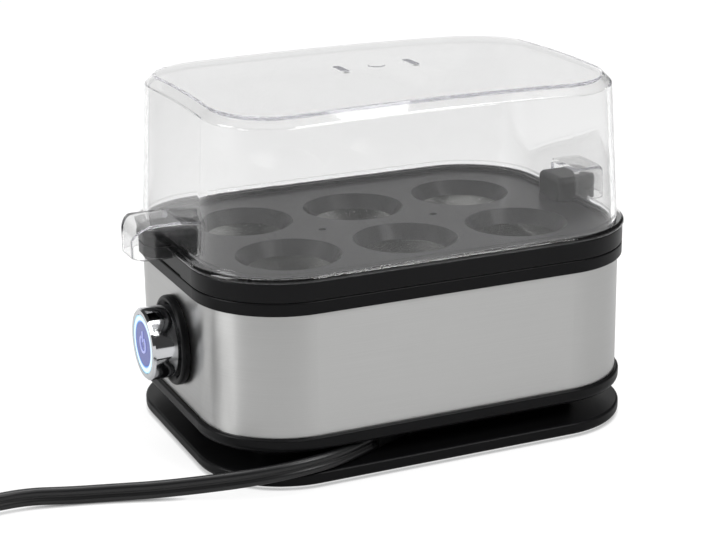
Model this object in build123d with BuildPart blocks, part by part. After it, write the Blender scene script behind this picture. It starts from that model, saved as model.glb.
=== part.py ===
"""Electric egg cooker for six eggs, in millimetres, +Z up.

The origin is under the middle of the base, on the surface that the feet stand on. X runs along
the long side, with the push button on the -X end, and -Y is the front. The housing's outline is
one rounded rectangle, and every ring, shell and plate takes that outline, moved in or out.
"""

import math
import os

from build123d import *

os.makedirs("parts", exist_ok=True)

# Housing outline
SLEEVE_LENGTH = 176.0
SLEEVE_WIDTH = 127.8
CORNER_SHARE = 0.2676
SLEEVE_CORNER = SLEEVE_WIDTH * CORNER_SHARE
SLEEVE_WALL = 0.6

# Heights, from the floor up
FOOT_DROP = 1.0
PLATE_HEIGHT = 4.9
WRAP_GAP = 8.1
SKIRT_HEIGHT = 6.0
SLEEVE_HEIGHT = 48.0
COLLAR_HEIGHT = 5.1
TRAY_RIM_HEIGHT = 7.5
LID_HEIGHT = 58.0

# How far each outline stands out from the sleeve
PLATE_OUT = 1.9
SKIRT_OUT = 1.6
BAND_OUT = 1.7
LID_FLANGE_OUT = 2.2

# Base plate, feet and their screws
PLATE_WALL = 2.4
PLATE_TOP_ROUND = 1.0
PLATE_BOTTOM_ROUND = 1.8
FOOT_RADIUS = 7.0
FOOT_POCKET = 1.5
FOOT_BOSS_WALL = 2.0
FOOT_PITCH_X = 128.0
FOOT_PITCH_Y = 82.0
BASE_SCREW_PITCH_X = 96.0
BASE_SCREW_PITCH_Y = 64.0

# Screws and their seats
SCREW_RADIUS = 1.5
SCREW_HEAD_RADIUS = 3.0
SCREW_HEAD_HEIGHT = 2.2
SCREW_GRIP = 9.0
BOSS_WALL = 2.6
THREAD_GAP = 0.05
HOLE_GAP = 0.25
SMALL_SCREW_RADIUS = 1.1
SMALL_HEAD_RADIUS = 2.4
SMALL_HEAD_HEIGHT = 1.8

# Lower housing
HOUSING_FLOOR = 2.4
SKIRT_TOP_ROUND = 1.0
SKIRT_BOTTOM_ROUND = 3.0
WRAP_DEPTH = 17.0
WAIST_WALL = 2.2
LIP_HEIGHT = 4.0
LIP_WALL = 2.0
FIT_GAP = 0.15
POST_HEIGHT = 34.0
POST_PITCH_X = 90.0
POST_INSET = 5.7
WIRE_HOLE_RADIUS = 6.0
WIRE_HOLE_X = 14.0
WIRE_HOLE_REAR = 7.56

# Collar, seal and water dish
COLLAR_LIP = 2.0
COLLAR_ROUND = 0.6
LEDGE_IN = 4.0
LEDGE_DEPTH = 1.8
COLLAR_INNER = 9.5
SEAL_HEIGHT = 1.0
DISH_WALL = 0.8
DISH_DEPTH = 12.8
DISH_DRAFT = 3.6
DISH_GAP = 0.4
DISH_ROUND = 4.0

# Heater under the dish
SPREADER_IN = 24.0
SPREADER_THICK = 3.0
ELEMENT_RADIUS = 3.3
ELEMENT_SPAN_X = 88.0
ELEMENT_SPAN_Y = 48.0
ELEMENT_BEND = 20.0
BRAZE_GAP = 0.05
BEAD_RADIUS = 2.6
BEAD_LENGTH = 4.0
PIN_RADIUS = 1.3
PIN_LENGTH = 8.0
THERMOSTAT_X = 8.0
THERMOSTAT_RADIUS = 8.0
THERMOSTAT_HEIGHT = 8.0
EAR_THICK = 0.8
EAR_PITCH = 24.0
EAR_WIDTH = 9.0
TAB_WIDTH = 6.3
TAB_THICK = 0.8
TAB_LENGTH = 7.0
TAB_PITCH = 7.0
FUSE_X = 31.0
FUSE_RADIUS = 2.1
FUSE_LENGTH = 12.0
FUSE_LEAD_RADIUS = 0.6
FUSE_LEAD = 6.0
CLIP_LENGTH = 14.0
CLIP_WIDTH = 5.0
CLIP_THICK = 1.2

# Push button on the left end
BUTTON_SHARE = -0.024
BUTTON_Y = SLEEVE_WIDTH * BUTTON_SHARE
BUTTON_RISE = 23.8
BUTTON_RADIUS = 14.2
BUTTON_PROUD = 13.6
BUTTON_LENGTH = 15.0
BUTTON_TRAVEL = 3.0
SLIDE_GAP = 0.35
BEZEL_FLANGE = 3.3
BEZEL_FLANGE_WALL = 3.15
BEZEL_FRONT_ROUND = 1.2
BEZEL_BACK_ROUND = 0.7
BEZEL_DISH = 1.5
BEZEL_NECK = 10.0
BEZEL_NECK_WALL = 1.2
BEZEL_REAR_WALL = 2.0
NUT_LENGTH = 3.5
NUT_WALL = 2.2
CAP_EDGE = 0.9
CAP_RIM = 2.6
CAP_SHOULDER = 1.2
RING_SINK = 0.1
RING_WIDTH = 2.5
RING_DEPTH = 2.6
TRIM_GAP = 0.2
DISC_SINK = 0.15
ICON_RADIUS = 3.6
ICON_STROKE = 0.8
ICON_BAR = 4.4
ICON_RAISE = 0.3
ICON_OPENING = 70.0
CARRIER_THICK = 2.5
STEM_RADIUS = 3.0
SPRING_RADIUS = 5.6
SPRING_WIRE = 0.9
SPRING_TURNS = 5
SPRING_SEAT_GAP = 0.3
BOARD_THICK = 1.2
BOARD_INNER = 7.5
BOARD_RIM_GAP = 0.4
LAMP_SIDE = 2.6
LAMP_HEIGHT = 1.2
LAMP_COUNT = 4

# Switch behind the button
SWITCH_LENGTH = 12.5
SWITCH_WIDTH = 13.0
SWITCH_HEIGHT = 12.0
PLUNGER_RADIUS = 1.5
PLUNGER_GAP = 0.5
STEM_BACK = 1.0
PLUNGER_IN = 3.0
HOLDER_WALL = 2.0
HOLDER_FLANGE = 1.5
HOLDER_FLANGE_WIDTH = 29.0
HOLDER_SCREW_PITCH = 22.4
HOLDER_GAP = 0.15

# Terminal block and inner wires
BLOCK_LENGTH = 30.0
BLOCK_WIDTH = 16.0
BLOCK_HEIGHT = 13.0
BLOCK_X = 30.0
BLOCK_SHARE = -0.2
BLOCK_Y = SLEEVE_WIDTH * BLOCK_SHARE
BLOCK_PITCH = 9.0
BLOCK_HOLE_RADIUS = 1.8
CORE_RADIUS = 1.3
CORE_BEND = 4.0
LEAD_TURN = 6.0
LEAD_CLEAR = 2.3
LEAD_PITCH = 6.0

# Egg tray
RIM_WALL = 2.2
RIM_ROUND = 0.7
RIM_STEP = 1.6
DECK_THICK = 2.2
DECK_IN = 3.4
SEAT_PITCH_X = 49.0
SEAT_PITCH_Y = 50.0
SEAT_HOLE_RADIUS = 16.5
SEAT_FLARE = 4.0
SEAT_DEPTH = 5.6
SEAT_WALL = 1.8
NOTCH_WIDTH = 34.0
NOTCH_HEIGHT = 1.0
STEAM_HOLE_RADIUS = 1.6
TONGUE_ROOT = 10.0
TONGUE_REACH = 11.5
TONGUE_HALF = 9.8
TONGUE_CORNER = 7.5
TONGUE_ROOT_ROUND = 2.6
TONGUE_HEIGHT = 10.2
TONGUE_LIFT = 0.4
GROOVE_RISE = 4.6
GROOVE_HEIGHT = 0.9
GROOVE_DEPTH = 0.7
TONGUE_WALL = 2.2
TONGUE_ROUND = 2.4

# Clear lid
LID_WALL = 2.0
LID_FLANGE_THICK = 2.0
LID_FOOT_IN = 0.5
LID_DRAFT = 5.4
LID_DRAFT_END = 3.3
LID_BEVEL = 3.4
LID_BEVEL_SOFT = 0.8
LID_FLANGE_ROUND = 1.35
LID_FLANGE_FOOT = 0.45
LID_CROWN_ALONG = 1.7
LID_CROWN_ACROSS = 2.4
HOOD_GAP = 0.6
HOOD_WALL = 1.3
HOOD_TIP_GAP = 4.2
HOOD_TOP_GAP = 2.4
HOOD_BEVEL = 1.6
HOOD_CORNER = 6.5
HOOD_BROW = 7.0
HOOD_DROP = 1.1
HOOD_RIM_GAP = 0.6
VENT_LENGTH = 12.0
VENT_WIDTH = 3.2
VENT_PITCH = 30.0
VENT_LIP = 0.9
VENT_LIP_RAISE = 0.4
GATE_RADIUS = 3.5
GATE_RAISE = 0.25

# Flat two-core cord, lying on edge
CORD_TALL = 6.8
CORD_THICK = 3.6
CORD_LIFT = 0.1
GLAND_X = -12.0
GLAND_ANGLE = 208.4
GLAND_LENGTH = 18.0
GLAND_INSIDE = 6.0
GLAND_ROOM = 0.2
GLAND_THICK = 6.0
GLAND_TIP_THICK = 4.6
COIL_X = -210.0
COIL_RADIUS = 39.5
COIL_PITCH = 4.4
COIL_LAYER = 7.4
COIL_LEAD = 38.0
COIL_Y = 3.2
TAIL_STRAIGHT = 22.0
TAIL_DROP = 27.0
TAIL_END = 8.0
TIE_THICK = 0.8
TIE_WIDTH = 9.0
TIE_GAP = 0.25
PLUG_LENGTH = 36.0
PLUG_WIDTH = 26.0
PLUG_TALL = 13.7
PLUG_NECK = 14.0
PLUG_BOOT = 9.0
PLUG_BOOT_TALL = 9.6
PLUG_BOOT_THICK = 7.6
PLUG_ROUND = 2.0
PLUG_PIN_RADIUS = 2.0
PLUG_PIN_LENGTH = 19.0
PLUG_PIN_PITCH = 18.6

# Levels worked out from the heights
Z_PLATE = FOOT_DROP
Z_WRAP = Z_PLATE + PLATE_HEIGHT
Z_SKIRT = Z_WRAP + WRAP_GAP
Z_FLOOR = Z_SKIRT + HOUSING_FLOOR
Z_SLEEVE = Z_SKIRT + SKIRT_HEIGHT
Z_COLLAR = Z_SLEEVE + SLEEVE_HEIGHT
Z_TRAY = Z_COLLAR + COLLAR_HEIGHT
Z_LID = Z_TRAY + TRAY_RIM_HEIGHT
Z_DECK = Z_LID - RIM_STEP
Z_LID_APEX = Z_LID + LID_HEIGHT + LID_CROWN_ALONG + LID_CROWN_ACROSS
Z_POST = Z_FLOOR + POST_HEIGHT
Z_DISH = Z_TRAY - DISH_DEPTH
Z_HEATER = Z_DISH - SPREADER_THICK
Z_BUTTON = Z_SLEEVE + BUTTON_RISE
END_X = SLEEVE_LENGTH / 2
SIDE_Y = SLEEVE_WIDTH / 2


def footprint(offset):
    """The housing's rounded outline, moved outwards by offset."""
    RectangleRounded(SLEEVE_LENGTH + 2 * offset, SLEEVE_WIDTH + 2 * offset, SLEEVE_CORNER + offset)


def block(offset, bottom, top, mode=Mode.ADD):
    """A straight block on the housing's outline between two heights."""
    with BuildSketch(Plane.XY.offset(bottom)) as outline:
        footprint(offset)
    extrude(outline.sketch, amount=top - bottom, mode=mode)


def drafted(low_offset, bottom, high_offset, top, mode=Mode.ADD):
    """A block on the housing's outline whose walls lean from one offset to another."""
    with BuildSketch(Plane.XY.offset(bottom)) as low:
        footprint(low_offset)
    with BuildSketch(Plane.XY.offset(top)) as high:
        footprint(high_offset)
    loft([low.sketch.face(), high.sketch.face()], ruled=True, mode=mode)


def pillars(places, radius, bottom, top, mode=Mode.ADD):
    """Upright cylinders at places, between two heights."""
    with BuildSketch(Plane.XY.offset(bottom)) as circles:
        with Locations(*places):
            Circle(radius)
    extrude(circles.sketch, amount=top - bottom, mode=mode)


def screw_up(places, radius, head_radius, head_bottom, head_height, tip):
    """Pan head screws at places, driven upwards."""
    pillars(places, head_radius, head_bottom, head_bottom + head_height)
    pillars(places, radius, head_bottom + head_height, tip)


def grid(pitch_x, pitch_y):
    """The four corners of a rectangle about the middle."""
    return [(x * pitch_x / 2, y * pitch_y / 2) for x in (-1, 1) for y in (-1, 1)]


def on_button(x):
    """A plane square to the button's axis at x, facing outwards, with its own X to the right."""
    return Plane(origin=(x, BUTTON_Y, Z_BUTTON), x_dir=(0, -1, 0), z_dir=(-1, 0, 0))


def disc(x, radius, length, mode=Mode.ADD):
    """A round slug on the button's axis, from x outwards."""
    with BuildSketch(on_button(x)) as circle:
        Circle(radius)
    extrude(circle.sketch, amount=length, mode=mode)


def slab(x, width, height, length, mode=Mode.ADD):
    """A rectangular slug on the button's axis, from x outwards."""
    with BuildSketch(on_button(x)) as oblong:
        Rectangle(width, height)
    extrude(oblong.sketch, amount=length, mode=mode)


def biarc(start, start_way, end, end_way):
    """Two tangent arcs from start to end that leave and arrive along the given directions."""
    across = end - start
    ways = start_way + end_way
    spread = 2 * (1 - start_way.dot(end_way))
    along = across.dot(ways)
    if spread > 1e-9:
        reach = (math.sqrt(along**2 + spread * across.dot(across)) - along) / spread
    else:
        reach = across.dot(across) / (2 * along)
    first = start + start_way * reach
    second = end - end_way * reach
    middle = (first + second) * 0.5
    for a, corner, b in ((start, first, middle), (middle, second, end)):
        chord = (a + b) * 0.5
        cosine = (b - a).length / 2 / reach
        ThreePointArc(a, chord + (corner - chord) * (cosine / (1 + cosine)), b)


def least_gap(points, spacing, reach_across, reach_up):
    """The least gap between stretches of a bar that are well apart along it, from its middle points."""
    skip = int(4 * max(reach_across, reach_up) / spacing)
    best = math.inf
    for i, a in enumerate(points):
        for b in points[i + skip :]:
            level = math.hypot(a.X - b.X, a.Y - b.Y) - reach_across
            upright = abs(a.Z - b.Z) - reach_up
            best = min(best, max(level, upright))
    return best


def finish(piece, name):
    """Label a finished piece and write its file."""
    piece.part.label = name
    export_step(piece.part, f"parts/{name}.step")


# Base plate with feet pockets and screw seats
feet = grid(FOOT_PITCH_X, FOOT_PITCH_Y)
base_screw_places = grid(BASE_SCREW_PITCH_X, BASE_SCREW_PITCH_Y)
boss_radius = SCREW_RADIUS + BOSS_WALL
seat_top = Z_WRAP - PLATE_WALL

with BuildPart() as base_plate:
    block(PLATE_OUT, Z_PLATE, Z_WRAP)
    fillet(base_plate.faces().sort_by(Axis.Z)[-1].edges(), PLATE_TOP_ROUND)
    fillet(base_plate.faces().sort_by(Axis.Z)[0].edges(), PLATE_BOTTOM_ROUND)
    block(PLATE_OUT - PLATE_WALL, Z_PLATE, seat_top, Mode.SUBTRACT)
    pillars(feet, FOOT_RADIUS + FOOT_BOSS_WALL, Z_PLATE, Z_WRAP - PLATE_WALL / 2)
    pillars(feet, FOOT_RADIUS, Z_PLATE, Z_PLATE + FOOT_POCKET, Mode.SUBTRACT)
    pillars(base_screw_places, SCREW_RADIUS + HOLE_GAP, Z_PLATE, Z_WRAP, Mode.SUBTRACT)
finish(base_plate, "base_plate")

with BuildPart() as rubber_feet:
    pillars(feet, FOOT_RADIUS, 0, Z_PLATE + FOOT_POCKET)
    fillet(rubber_feet.faces().group_by(Axis.Z)[0].edges(), FOOT_DROP / 3)
finish(rubber_feet, "rubber_feet")

with BuildPart() as base_screws:
    screw_up(
        base_screw_places,
        SCREW_RADIUS,
        SCREW_HEAD_RADIUS,
        seat_top - SCREW_HEAD_HEIGHT,
        SCREW_HEAD_HEIGHT,
        seat_top + SCREW_GRIP,
    )
finish(base_screws, "base_screws")

# Lower housing: skirt, floor, cord waist, sleeve lip and screw posts
lip_out = -(SLEEVE_WALL + FIT_GAP)
post_places = grid(POST_PITCH_X, SLEEVE_WIDTH - 2 * POST_INSET)
post_radius = SCREW_HEAD_RADIUS + HOLE_GAP + BOSS_WALL / 2
wire_hole_y = BLOCK_Y + BLOCK_WIDTH / 2 + WIRE_HOLE_REAR
gland_way = Vector(math.cos(math.radians(GLAND_ANGLE)), math.sin(math.radians(GLAND_ANGLE)), 0)
z_cord = (Z_WRAP + Z_SKIRT) / 2
gland_at = Vector(GLAND_X, -(SIDE_Y - WRAP_DEPTH), z_cord)
gland_plane = Plane(origin=gland_at, x_dir=gland_way.cross(Vector(0, 0, 1)), z_dir=gland_way)
waist_cut = (WAIST_WALL + GLAND_THICK) / abs(gland_way.Y)

with BuildPart() as lower_housing:
    block(SKIRT_OUT, Z_SKIRT, Z_SLEEVE)
    fillet(lower_housing.faces().sort_by(Axis.Z)[-1].edges(), SKIRT_TOP_ROUND)
    fillet(lower_housing.faces().sort_by(Axis.Z)[0].edges(), SKIRT_BOTTOM_ROUND)
    block(lip_out, Z_SLEEVE, Z_SLEEVE + LIP_HEIGHT)
    block(lip_out - LIP_WALL, Z_FLOOR, Z_SLEEVE + LIP_HEIGHT, Mode.SUBTRACT)
    block(-WRAP_DEPTH, Z_WRAP, Z_SKIRT)
    block(-WRAP_DEPTH - WAIST_WALL, Z_WRAP, Z_SKIRT, Mode.SUBTRACT)
    pillars(base_screw_places, boss_radius, Z_WRAP, Z_FLOOR)
    pillars(base_screw_places, SCREW_RADIUS + THREAD_GAP, Z_WRAP, seat_top + SCREW_GRIP, Mode.SUBTRACT)
    pillars(post_places, post_radius, Z_FLOOR, Z_POST)
    pillars(post_places, SCREW_RADIUS + HOLE_GAP, Z_SKIRT, Z_POST, Mode.SUBTRACT)
    pillars(post_places, SCREW_HEAD_RADIUS + HOLE_GAP, Z_SKIRT, Z_SKIRT + SCREW_HEAD_HEIGHT, Mode.SUBTRACT)
    pillars([(WIRE_HOLE_X, wire_hole_y)], WIRE_HOLE_RADIUS, Z_SKIRT, Z_FLOOR, Mode.SUBTRACT)
    with BuildSketch(gland_plane.offset(-waist_cut)) as gland_slot:
        Rectangle(GLAND_THICK, WRAP_GAP)
    extrude(gland_slot.sketch, amount=2 * waist_cut, mode=Mode.SUBTRACT)
finish(lower_housing, "lower_housing")

# Collar, with bosses that take the long screws
post_boss_radius = SCREW_RADIUS + BOSS_WALL - DISH_GAP
ledge = Z_TRAY - LEDGE_DEPTH
with BuildPart() as body_collar:
    block(BAND_OUT, Z_COLLAR, Z_TRAY)
    fillet(body_collar.faces().sort_by(Axis.Z)[-1].edges(), COLLAR_ROUND)
    fillet(body_collar.faces().sort_by(Axis.Z)[0].edges(), COLLAR_ROUND)
    block(lip_out, Z_COLLAR - COLLAR_LIP, Z_COLLAR)
    block(lip_out - LIP_WALL, Z_COLLAR - COLLAR_LIP, Z_COLLAR, Mode.SUBTRACT)
    block(-COLLAR_INNER, Z_COLLAR, Z_TRAY, Mode.SUBTRACT)
    block(-LEDGE_IN, ledge, Z_TRAY, Mode.SUBTRACT)
    pillars(post_places, post_boss_radius, Z_POST, Z_COLLAR)
    pillars(post_places, SCREW_RADIUS + THREAD_GAP, Z_POST, Z_POST + SCREW_GRIP, Mode.SUBTRACT)
finish(body_collar, "body_collar")

with BuildPart() as housing_screws:
    screw_up(
        post_places,
        SCREW_RADIUS,
        SCREW_HEAD_RADIUS,
        Z_SKIRT,
        SCREW_HEAD_HEIGHT,
        Z_POST + SCREW_GRIP - THREAD_GAP,
    )
finish(housing_screws, "housing_screws")

# Brushed steel sleeve with the button's hole
bezel_neck = BUTTON_RADIUS + SLIDE_GAP + BEZEL_NECK_WALL
with BuildPart() as steel_sleeve:
    block(0, Z_SLEEVE, Z_COLLAR)
    block(-SLEEVE_WALL, Z_SLEEVE, Z_COLLAR, Mode.SUBTRACT)
    disc(-END_X + 2 * SLEEVE_WALL, bezel_neck + FIT_GAP, 3 * SLEEVE_WALL, Mode.SUBTRACT)
finish(steel_sleeve, "steel_sleeve")

# Silicone seal and water dish
with BuildPart() as dish_seal:
    block(-LEDGE_IN - FIT_GAP, ledge, ledge + SEAL_HEIGHT)
    block(-COLLAR_INNER, ledge, ledge + SEAL_HEIGHT, Mode.SUBTRACT)
finish(dish_seal, "dish_seal")

dish_out = -COLLAR_INNER - DISH_GAP
flange_bottom = ledge + SEAL_HEIGHT
with BuildPart() as water_dish:
    drafted(dish_out - DISH_DRAFT, Z_DISH, dish_out, Z_TRAY)
    fillet(water_dish.faces().sort_by(Axis.Z)[0].edges(), DISH_ROUND)
    block(-LEDGE_IN - FIT_GAP, flange_bottom, flange_bottom + DISH_WALL)
    with BuildSketch(Plane.XY.offset(Z_DISH + DISH_WALL)) as dish_low:
        footprint(dish_out - DISH_DRAFT - DISH_WALL)
    with BuildSketch(Plane.XY.offset(Z_TRAY)) as dish_high:
        footprint(dish_out - DISH_WALL)
    dish_hollow = loft([dish_low.sketch.face(), dish_high.sketch.face()], ruled=True, mode=Mode.PRIVATE)
    dish_hollow = dish_hollow.fillet(DISH_ROUND - DISH_WALL, dish_hollow.faces().sort_by(Axis.Z)[0].edges())
    add(dish_hollow, mode=Mode.SUBTRACT)
finish(water_dish, "water_dish")

# Heat spreader, element, thermostat and fuse under the dish
ear_places = [(THERMOSTAT_X, side * EAR_PITCH / 2) for side in (-1, 1)]
clip_screw = (FUSE_X + CLIP_LENGTH / 2, 0)
clip_middle = FUSE_X + CLIP_LENGTH / 4
spreader_screw_places = ear_places + [clip_screw]
screw_depth = SPREADER_THICK - THREAD_GAP
with BuildPart() as heat_spreader:
    block(-SPREADER_IN, Z_HEATER, Z_DISH)
    pillars(spreader_screw_places, SMALL_SCREW_RADIUS + THREAD_GAP, Z_HEATER, Z_HEATER + screw_depth, Mode.SUBTRACT)
finish(heat_spreader, "heat_spreader")

z_element = Z_HEATER - ELEMENT_RADIUS - BRAZE_GAP
element_end = -ELEMENT_SPAN_X / 2
element_side = ELEMENT_SPAN_Y / 2
with BuildPart() as heating_element:
    with BuildLine() as element_line:
        FilletPolyline(
            (element_end, -element_side, z_element),
            (-element_end, -element_side, z_element),
            (-element_end, element_side, z_element),
            (element_end, element_side, z_element),
            radius=ELEMENT_BEND,
        )
    with BuildSketch(Plane(origin=element_line.line @ 0, z_dir=element_line.line % 0)):
        Circle(ELEMENT_RADIUS)
    sweep()
finish(heating_element, "heating_element")

with BuildPart() as element_terminals:
    for side in (-1, 1):
        bead_plane = Plane(origin=(element_end, side * element_side, z_element), z_dir=(-1, 0, 0))
        with BuildSketch(bead_plane):
            Circle(BEAD_RADIUS)
        extrude(amount=BEAD_LENGTH)
        with BuildSketch(bead_plane.offset(BEAD_LENGTH)):
            Circle(PIN_RADIUS)
        extrude(amount=PIN_LENGTH)
finish(element_terminals, "element_terminals")

z_ear = Z_HEATER - EAR_THICK
z_thermostat = z_ear - THERMOSTAT_HEIGHT
with BuildPart() as thermostat:
    with BuildSketch(Plane.XY.offset(z_ear)):
        with Locations((THERMOSTAT_X, 0)):
            SlotOverall(EAR_PITCH + EAR_WIDTH, EAR_WIDTH, rotation=90)
    extrude(amount=EAR_THICK)
    pillars([(THERMOSTAT_X, 0)], THERMOSTAT_RADIUS, z_thermostat, z_ear)
    with BuildSketch(Plane.XY.offset(z_thermostat - TAB_LENGTH)):
        with Locations((THERMOSTAT_X - TAB_PITCH / 2, 0), (THERMOSTAT_X + TAB_PITCH / 2, 0)):
            Rectangle(TAB_THICK, TAB_WIDTH)
    extrude(amount=TAB_LENGTH)
    pillars(ear_places, SMALL_SCREW_RADIUS + HOLE_GAP, z_ear, Z_HEATER, Mode.SUBTRACT)
finish(thermostat, "thermostat")

z_fuse = Z_HEATER - FUSE_RADIUS - BRAZE_GAP
with BuildPart() as thermal_fuse:
    with BuildSketch(Plane.XZ.offset(-FUSE_LENGTH / 2)):
        with Locations((FUSE_X, z_fuse)):
            Circle(FUSE_RADIUS)
    extrude(amount=FUSE_LENGTH)
    with BuildSketch(Plane.XZ.offset(-FUSE_LENGTH / 2 - FUSE_LEAD)):
        with Locations((FUSE_X, z_fuse)):
            Circle(FUSE_LEAD_RADIUS)
    extrude(amount=FUSE_LENGTH + 2 * FUSE_LEAD)
finish(thermal_fuse, "thermal_fuse")

clip_drop = 2 * FUSE_RADIUS + BRAZE_GAP + CLIP_THICK
clip_tab_thick = EAR_THICK
with BuildPart() as fuse_clip:
    with BuildSketch(Plane.XZ.offset(-CLIP_WIDTH / 2)):
        with Locations((FUSE_X, z_fuse)):
            Circle(FUSE_RADIUS + FIT_GAP + CLIP_THICK)
        with Locations((clip_middle + CLIP_WIDTH / 4, Z_HEATER - clip_tab_thick / 2)):
            Rectangle(CLIP_LENGTH / 2 + CLIP_WIDTH / 2, clip_tab_thick)
        with Locations((FUSE_X, z_fuse)):
            Circle(FUSE_RADIUS + FIT_GAP, mode=Mode.SUBTRACT)
        with Locations((FUSE_X, Z_HEATER + clip_drop / 2)):
            Rectangle(2 * CLIP_LENGTH, clip_drop, mode=Mode.SUBTRACT)
    extrude(amount=CLIP_WIDTH)
    pillars([clip_screw], SMALL_SCREW_RADIUS + HOLE_GAP, Z_HEATER - clip_drop, Z_HEATER, Mode.SUBTRACT)
finish(fuse_clip, "fuse_clip")

with BuildPart() as spreader_screws:
    screw_up(
        spreader_screw_places,
        SMALL_SCREW_RADIUS,
        SMALL_HEAD_RADIUS,
        z_ear - SMALL_HEAD_HEIGHT,
        SMALL_HEAD_HEIGHT,
        Z_HEATER + screw_depth - THREAD_GAP,
    )
finish(spreader_screws, "spreader_screws")

# Bezel ring, its nut and the button that slides in it
bore = BUTTON_RADIUS + SLIDE_GAP
neck_back = -END_X + BEZEL_NECK
rear_front = neck_back - BEZEL_REAR_WALL
holder_screw_places = [(side * HOLDER_SCREW_PITCH / 2, 0) for side in (-1, 1)]
with BuildPart() as button_bezel:
    disc(neck_back, bezel_neck, BEZEL_NECK)
    disc(-END_X, bore + BEZEL_FLANGE_WALL, BEZEL_FLANGE)
    fillet(button_bezel.faces().sort_by(Axis.X)[0].edges(), BEZEL_FRONT_ROUND)
    flange_back = button_bezel.edges().filter_by_position(Axis.X, -END_X, -END_X).sort_by(SortBy.RADIUS)[-1]
    fillet(flange_back, BEZEL_BACK_ROUND)
    disc(rear_front, bore, BEZEL_NECK + BEZEL_FLANGE, Mode.SUBTRACT)
    chamfer(button_bezel.faces().sort_by(Axis.X)[0].inner_wires()[0].edges(), BEZEL_DISH)
    disc(neck_back, STEM_RADIUS + SLIDE_GAP, BEZEL_REAR_WALL, Mode.SUBTRACT)
    with BuildSketch(on_button(neck_back)):
        with Locations(*holder_screw_places):
            Circle(SMALL_SCREW_RADIUS + THREAD_GAP)
    extrude(amount=BEZEL_REAR_WALL, mode=Mode.SUBTRACT)
finish(button_bezel, "button_bezel")

nut_back = -END_X + SLEEVE_WALL + NUT_LENGTH
with BuildPart() as bezel_nut:
    disc(nut_back, bezel_neck + NUT_WALL, NUT_LENGTH)
    disc(nut_back, bezel_neck + THREAD_GAP, NUT_LENGTH, Mode.SUBTRACT)
finish(bezel_nut, "bezel_nut")

face_x = -END_X - BUTTON_PROUD
shoulder_x = face_x + RING_SINK + RING_DEPTH
recess = BUTTON_RADIUS - CAP_RIM
with BuildPart() as button_cap:
    disc(face_x + BUTTON_LENGTH, BUTTON_RADIUS, BUTTON_LENGTH)
    chamfer(button_cap.faces().sort_by(Axis.X)[0].edges(), CAP_EDGE)
    disc(face_x + BUTTON_LENGTH, recess - CAP_SHOULDER, BUTTON_LENGTH, Mode.SUBTRACT)
    disc(shoulder_x, recess, RING_SINK + RING_DEPTH, Mode.SUBTRACT)
finish(button_cap, "button_cap")

ring_outer = recess - TRIM_GAP
ring_inner = ring_outer - RING_WIDTH
with BuildPart() as light_ring:
    disc(shoulder_x, ring_outer, RING_DEPTH)
    disc(shoulder_x, ring_inner, RING_DEPTH, Mode.SUBTRACT)
    fillet(light_ring.faces().sort_by(Axis.X)[0].edges(), TRIM_GAP)
finish(light_ring, "light_ring")

disc_face = face_x + DISC_SINK
with BuildPart() as button_disc:
    disc(shoulder_x, ring_inner - TRIM_GAP, shoulder_x - disc_face)
finish(button_disc, "button_disc")

with BuildPart() as power_symbol:
    with BuildSketch(on_button(disc_face)):
        Circle(ICON_RADIUS)
        Circle(ICON_RADIUS - ICON_STROKE, mode=Mode.SUBTRACT)
        with BuildLine():
            opening_side = PolarLine((0, 0), 2 * ICON_RADIUS, 90 - ICON_OPENING / 2)
            opening_top = PolarLine((0, 0), 2 * ICON_RADIUS, 90 + ICON_OPENING / 2)
            Line(opening_side @ 1, opening_top @ 1)
        make_face(mode=Mode.SUBTRACT)
        with Locations((0, ICON_BAR * 0.7)):
            RectangleRounded(ICON_STROKE, ICON_BAR, ICON_STROKE * 0.4)
    extrude(amount=ICON_RAISE)
finish(power_symbol, "power_symbol")

carrier_back = shoulder_x + CARRIER_THICK
stem_end = neck_back - STEM_BACK
with BuildPart() as button_carrier:
    disc(carrier_back, recess - CAP_SHOULDER - TRIM_GAP, CARRIER_THICK)
    disc(stem_end, STEM_RADIUS, stem_end - carrier_back)
finish(button_carrier, "button_carrier")

# Return spring: an even helix made of quarter turns
spring_start = carrier_back + SPRING_WIRE / 2 + SPRING_SEAT_GAP
spring_end = rear_front - SPRING_WIRE / 2 - SPRING_SEAT_GAP
quarters = 4 * SPRING_TURNS
spring_step = (spring_end - spring_start) / quarters
spring_slope = math.atan2(spring_step, SPRING_RADIUS * math.pi / 2)


def spring_point(k):
    """The point after k quarter turns of the spring, and the way that the wire runs there."""
    turn = k * math.pi / 2
    place = Vector(
        spring_start + k * spring_step,
        BUTTON_Y + SPRING_RADIUS * math.cos(turn),
        Z_BUTTON + SPRING_RADIUS * math.sin(turn),
    )
    level = math.cos(spring_slope)
    way = Vector(math.sin(spring_slope), -level * math.sin(turn), level * math.cos(turn))
    return place, way


with BuildPart() as button_spring:
    with BuildLine() as spring_line:
        for quarter in range(quarters):
            biarc(*spring_point(quarter), *spring_point(quarter + 1))
    with BuildSketch(Plane(origin=spring_point(0)[0], z_dir=spring_point(0)[1])):
        Circle(SPRING_WIRE / 2)
    sweep()
finish(button_spring, "button_spring")
print("spring gap", round(4 * spring_step - SPRING_WIRE, 2))

# Lamp board behind the cap
board_front = rear_front - BOARD_THICK
lamp_radius = (BOARD_INNER + recess - CAP_SHOULDER) / 2
with BuildPart() as lamp_board:
    disc(rear_front, bore - BOARD_RIM_GAP, BOARD_THICK)
    disc(rear_front, BOARD_INNER, BOARD_THICK, Mode.SUBTRACT)
finish(lamp_board, "lamp_board")

with BuildPart() as lamps:
    with BuildSketch(on_button(board_front)):
        with PolarLocations(lamp_radius, LAMP_COUNT, start_angle=45):
            Rectangle(LAMP_SIDE, LAMP_SIDE)
    extrude(amount=LAMP_HEIGHT)
finish(lamps, "lamps")

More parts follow.
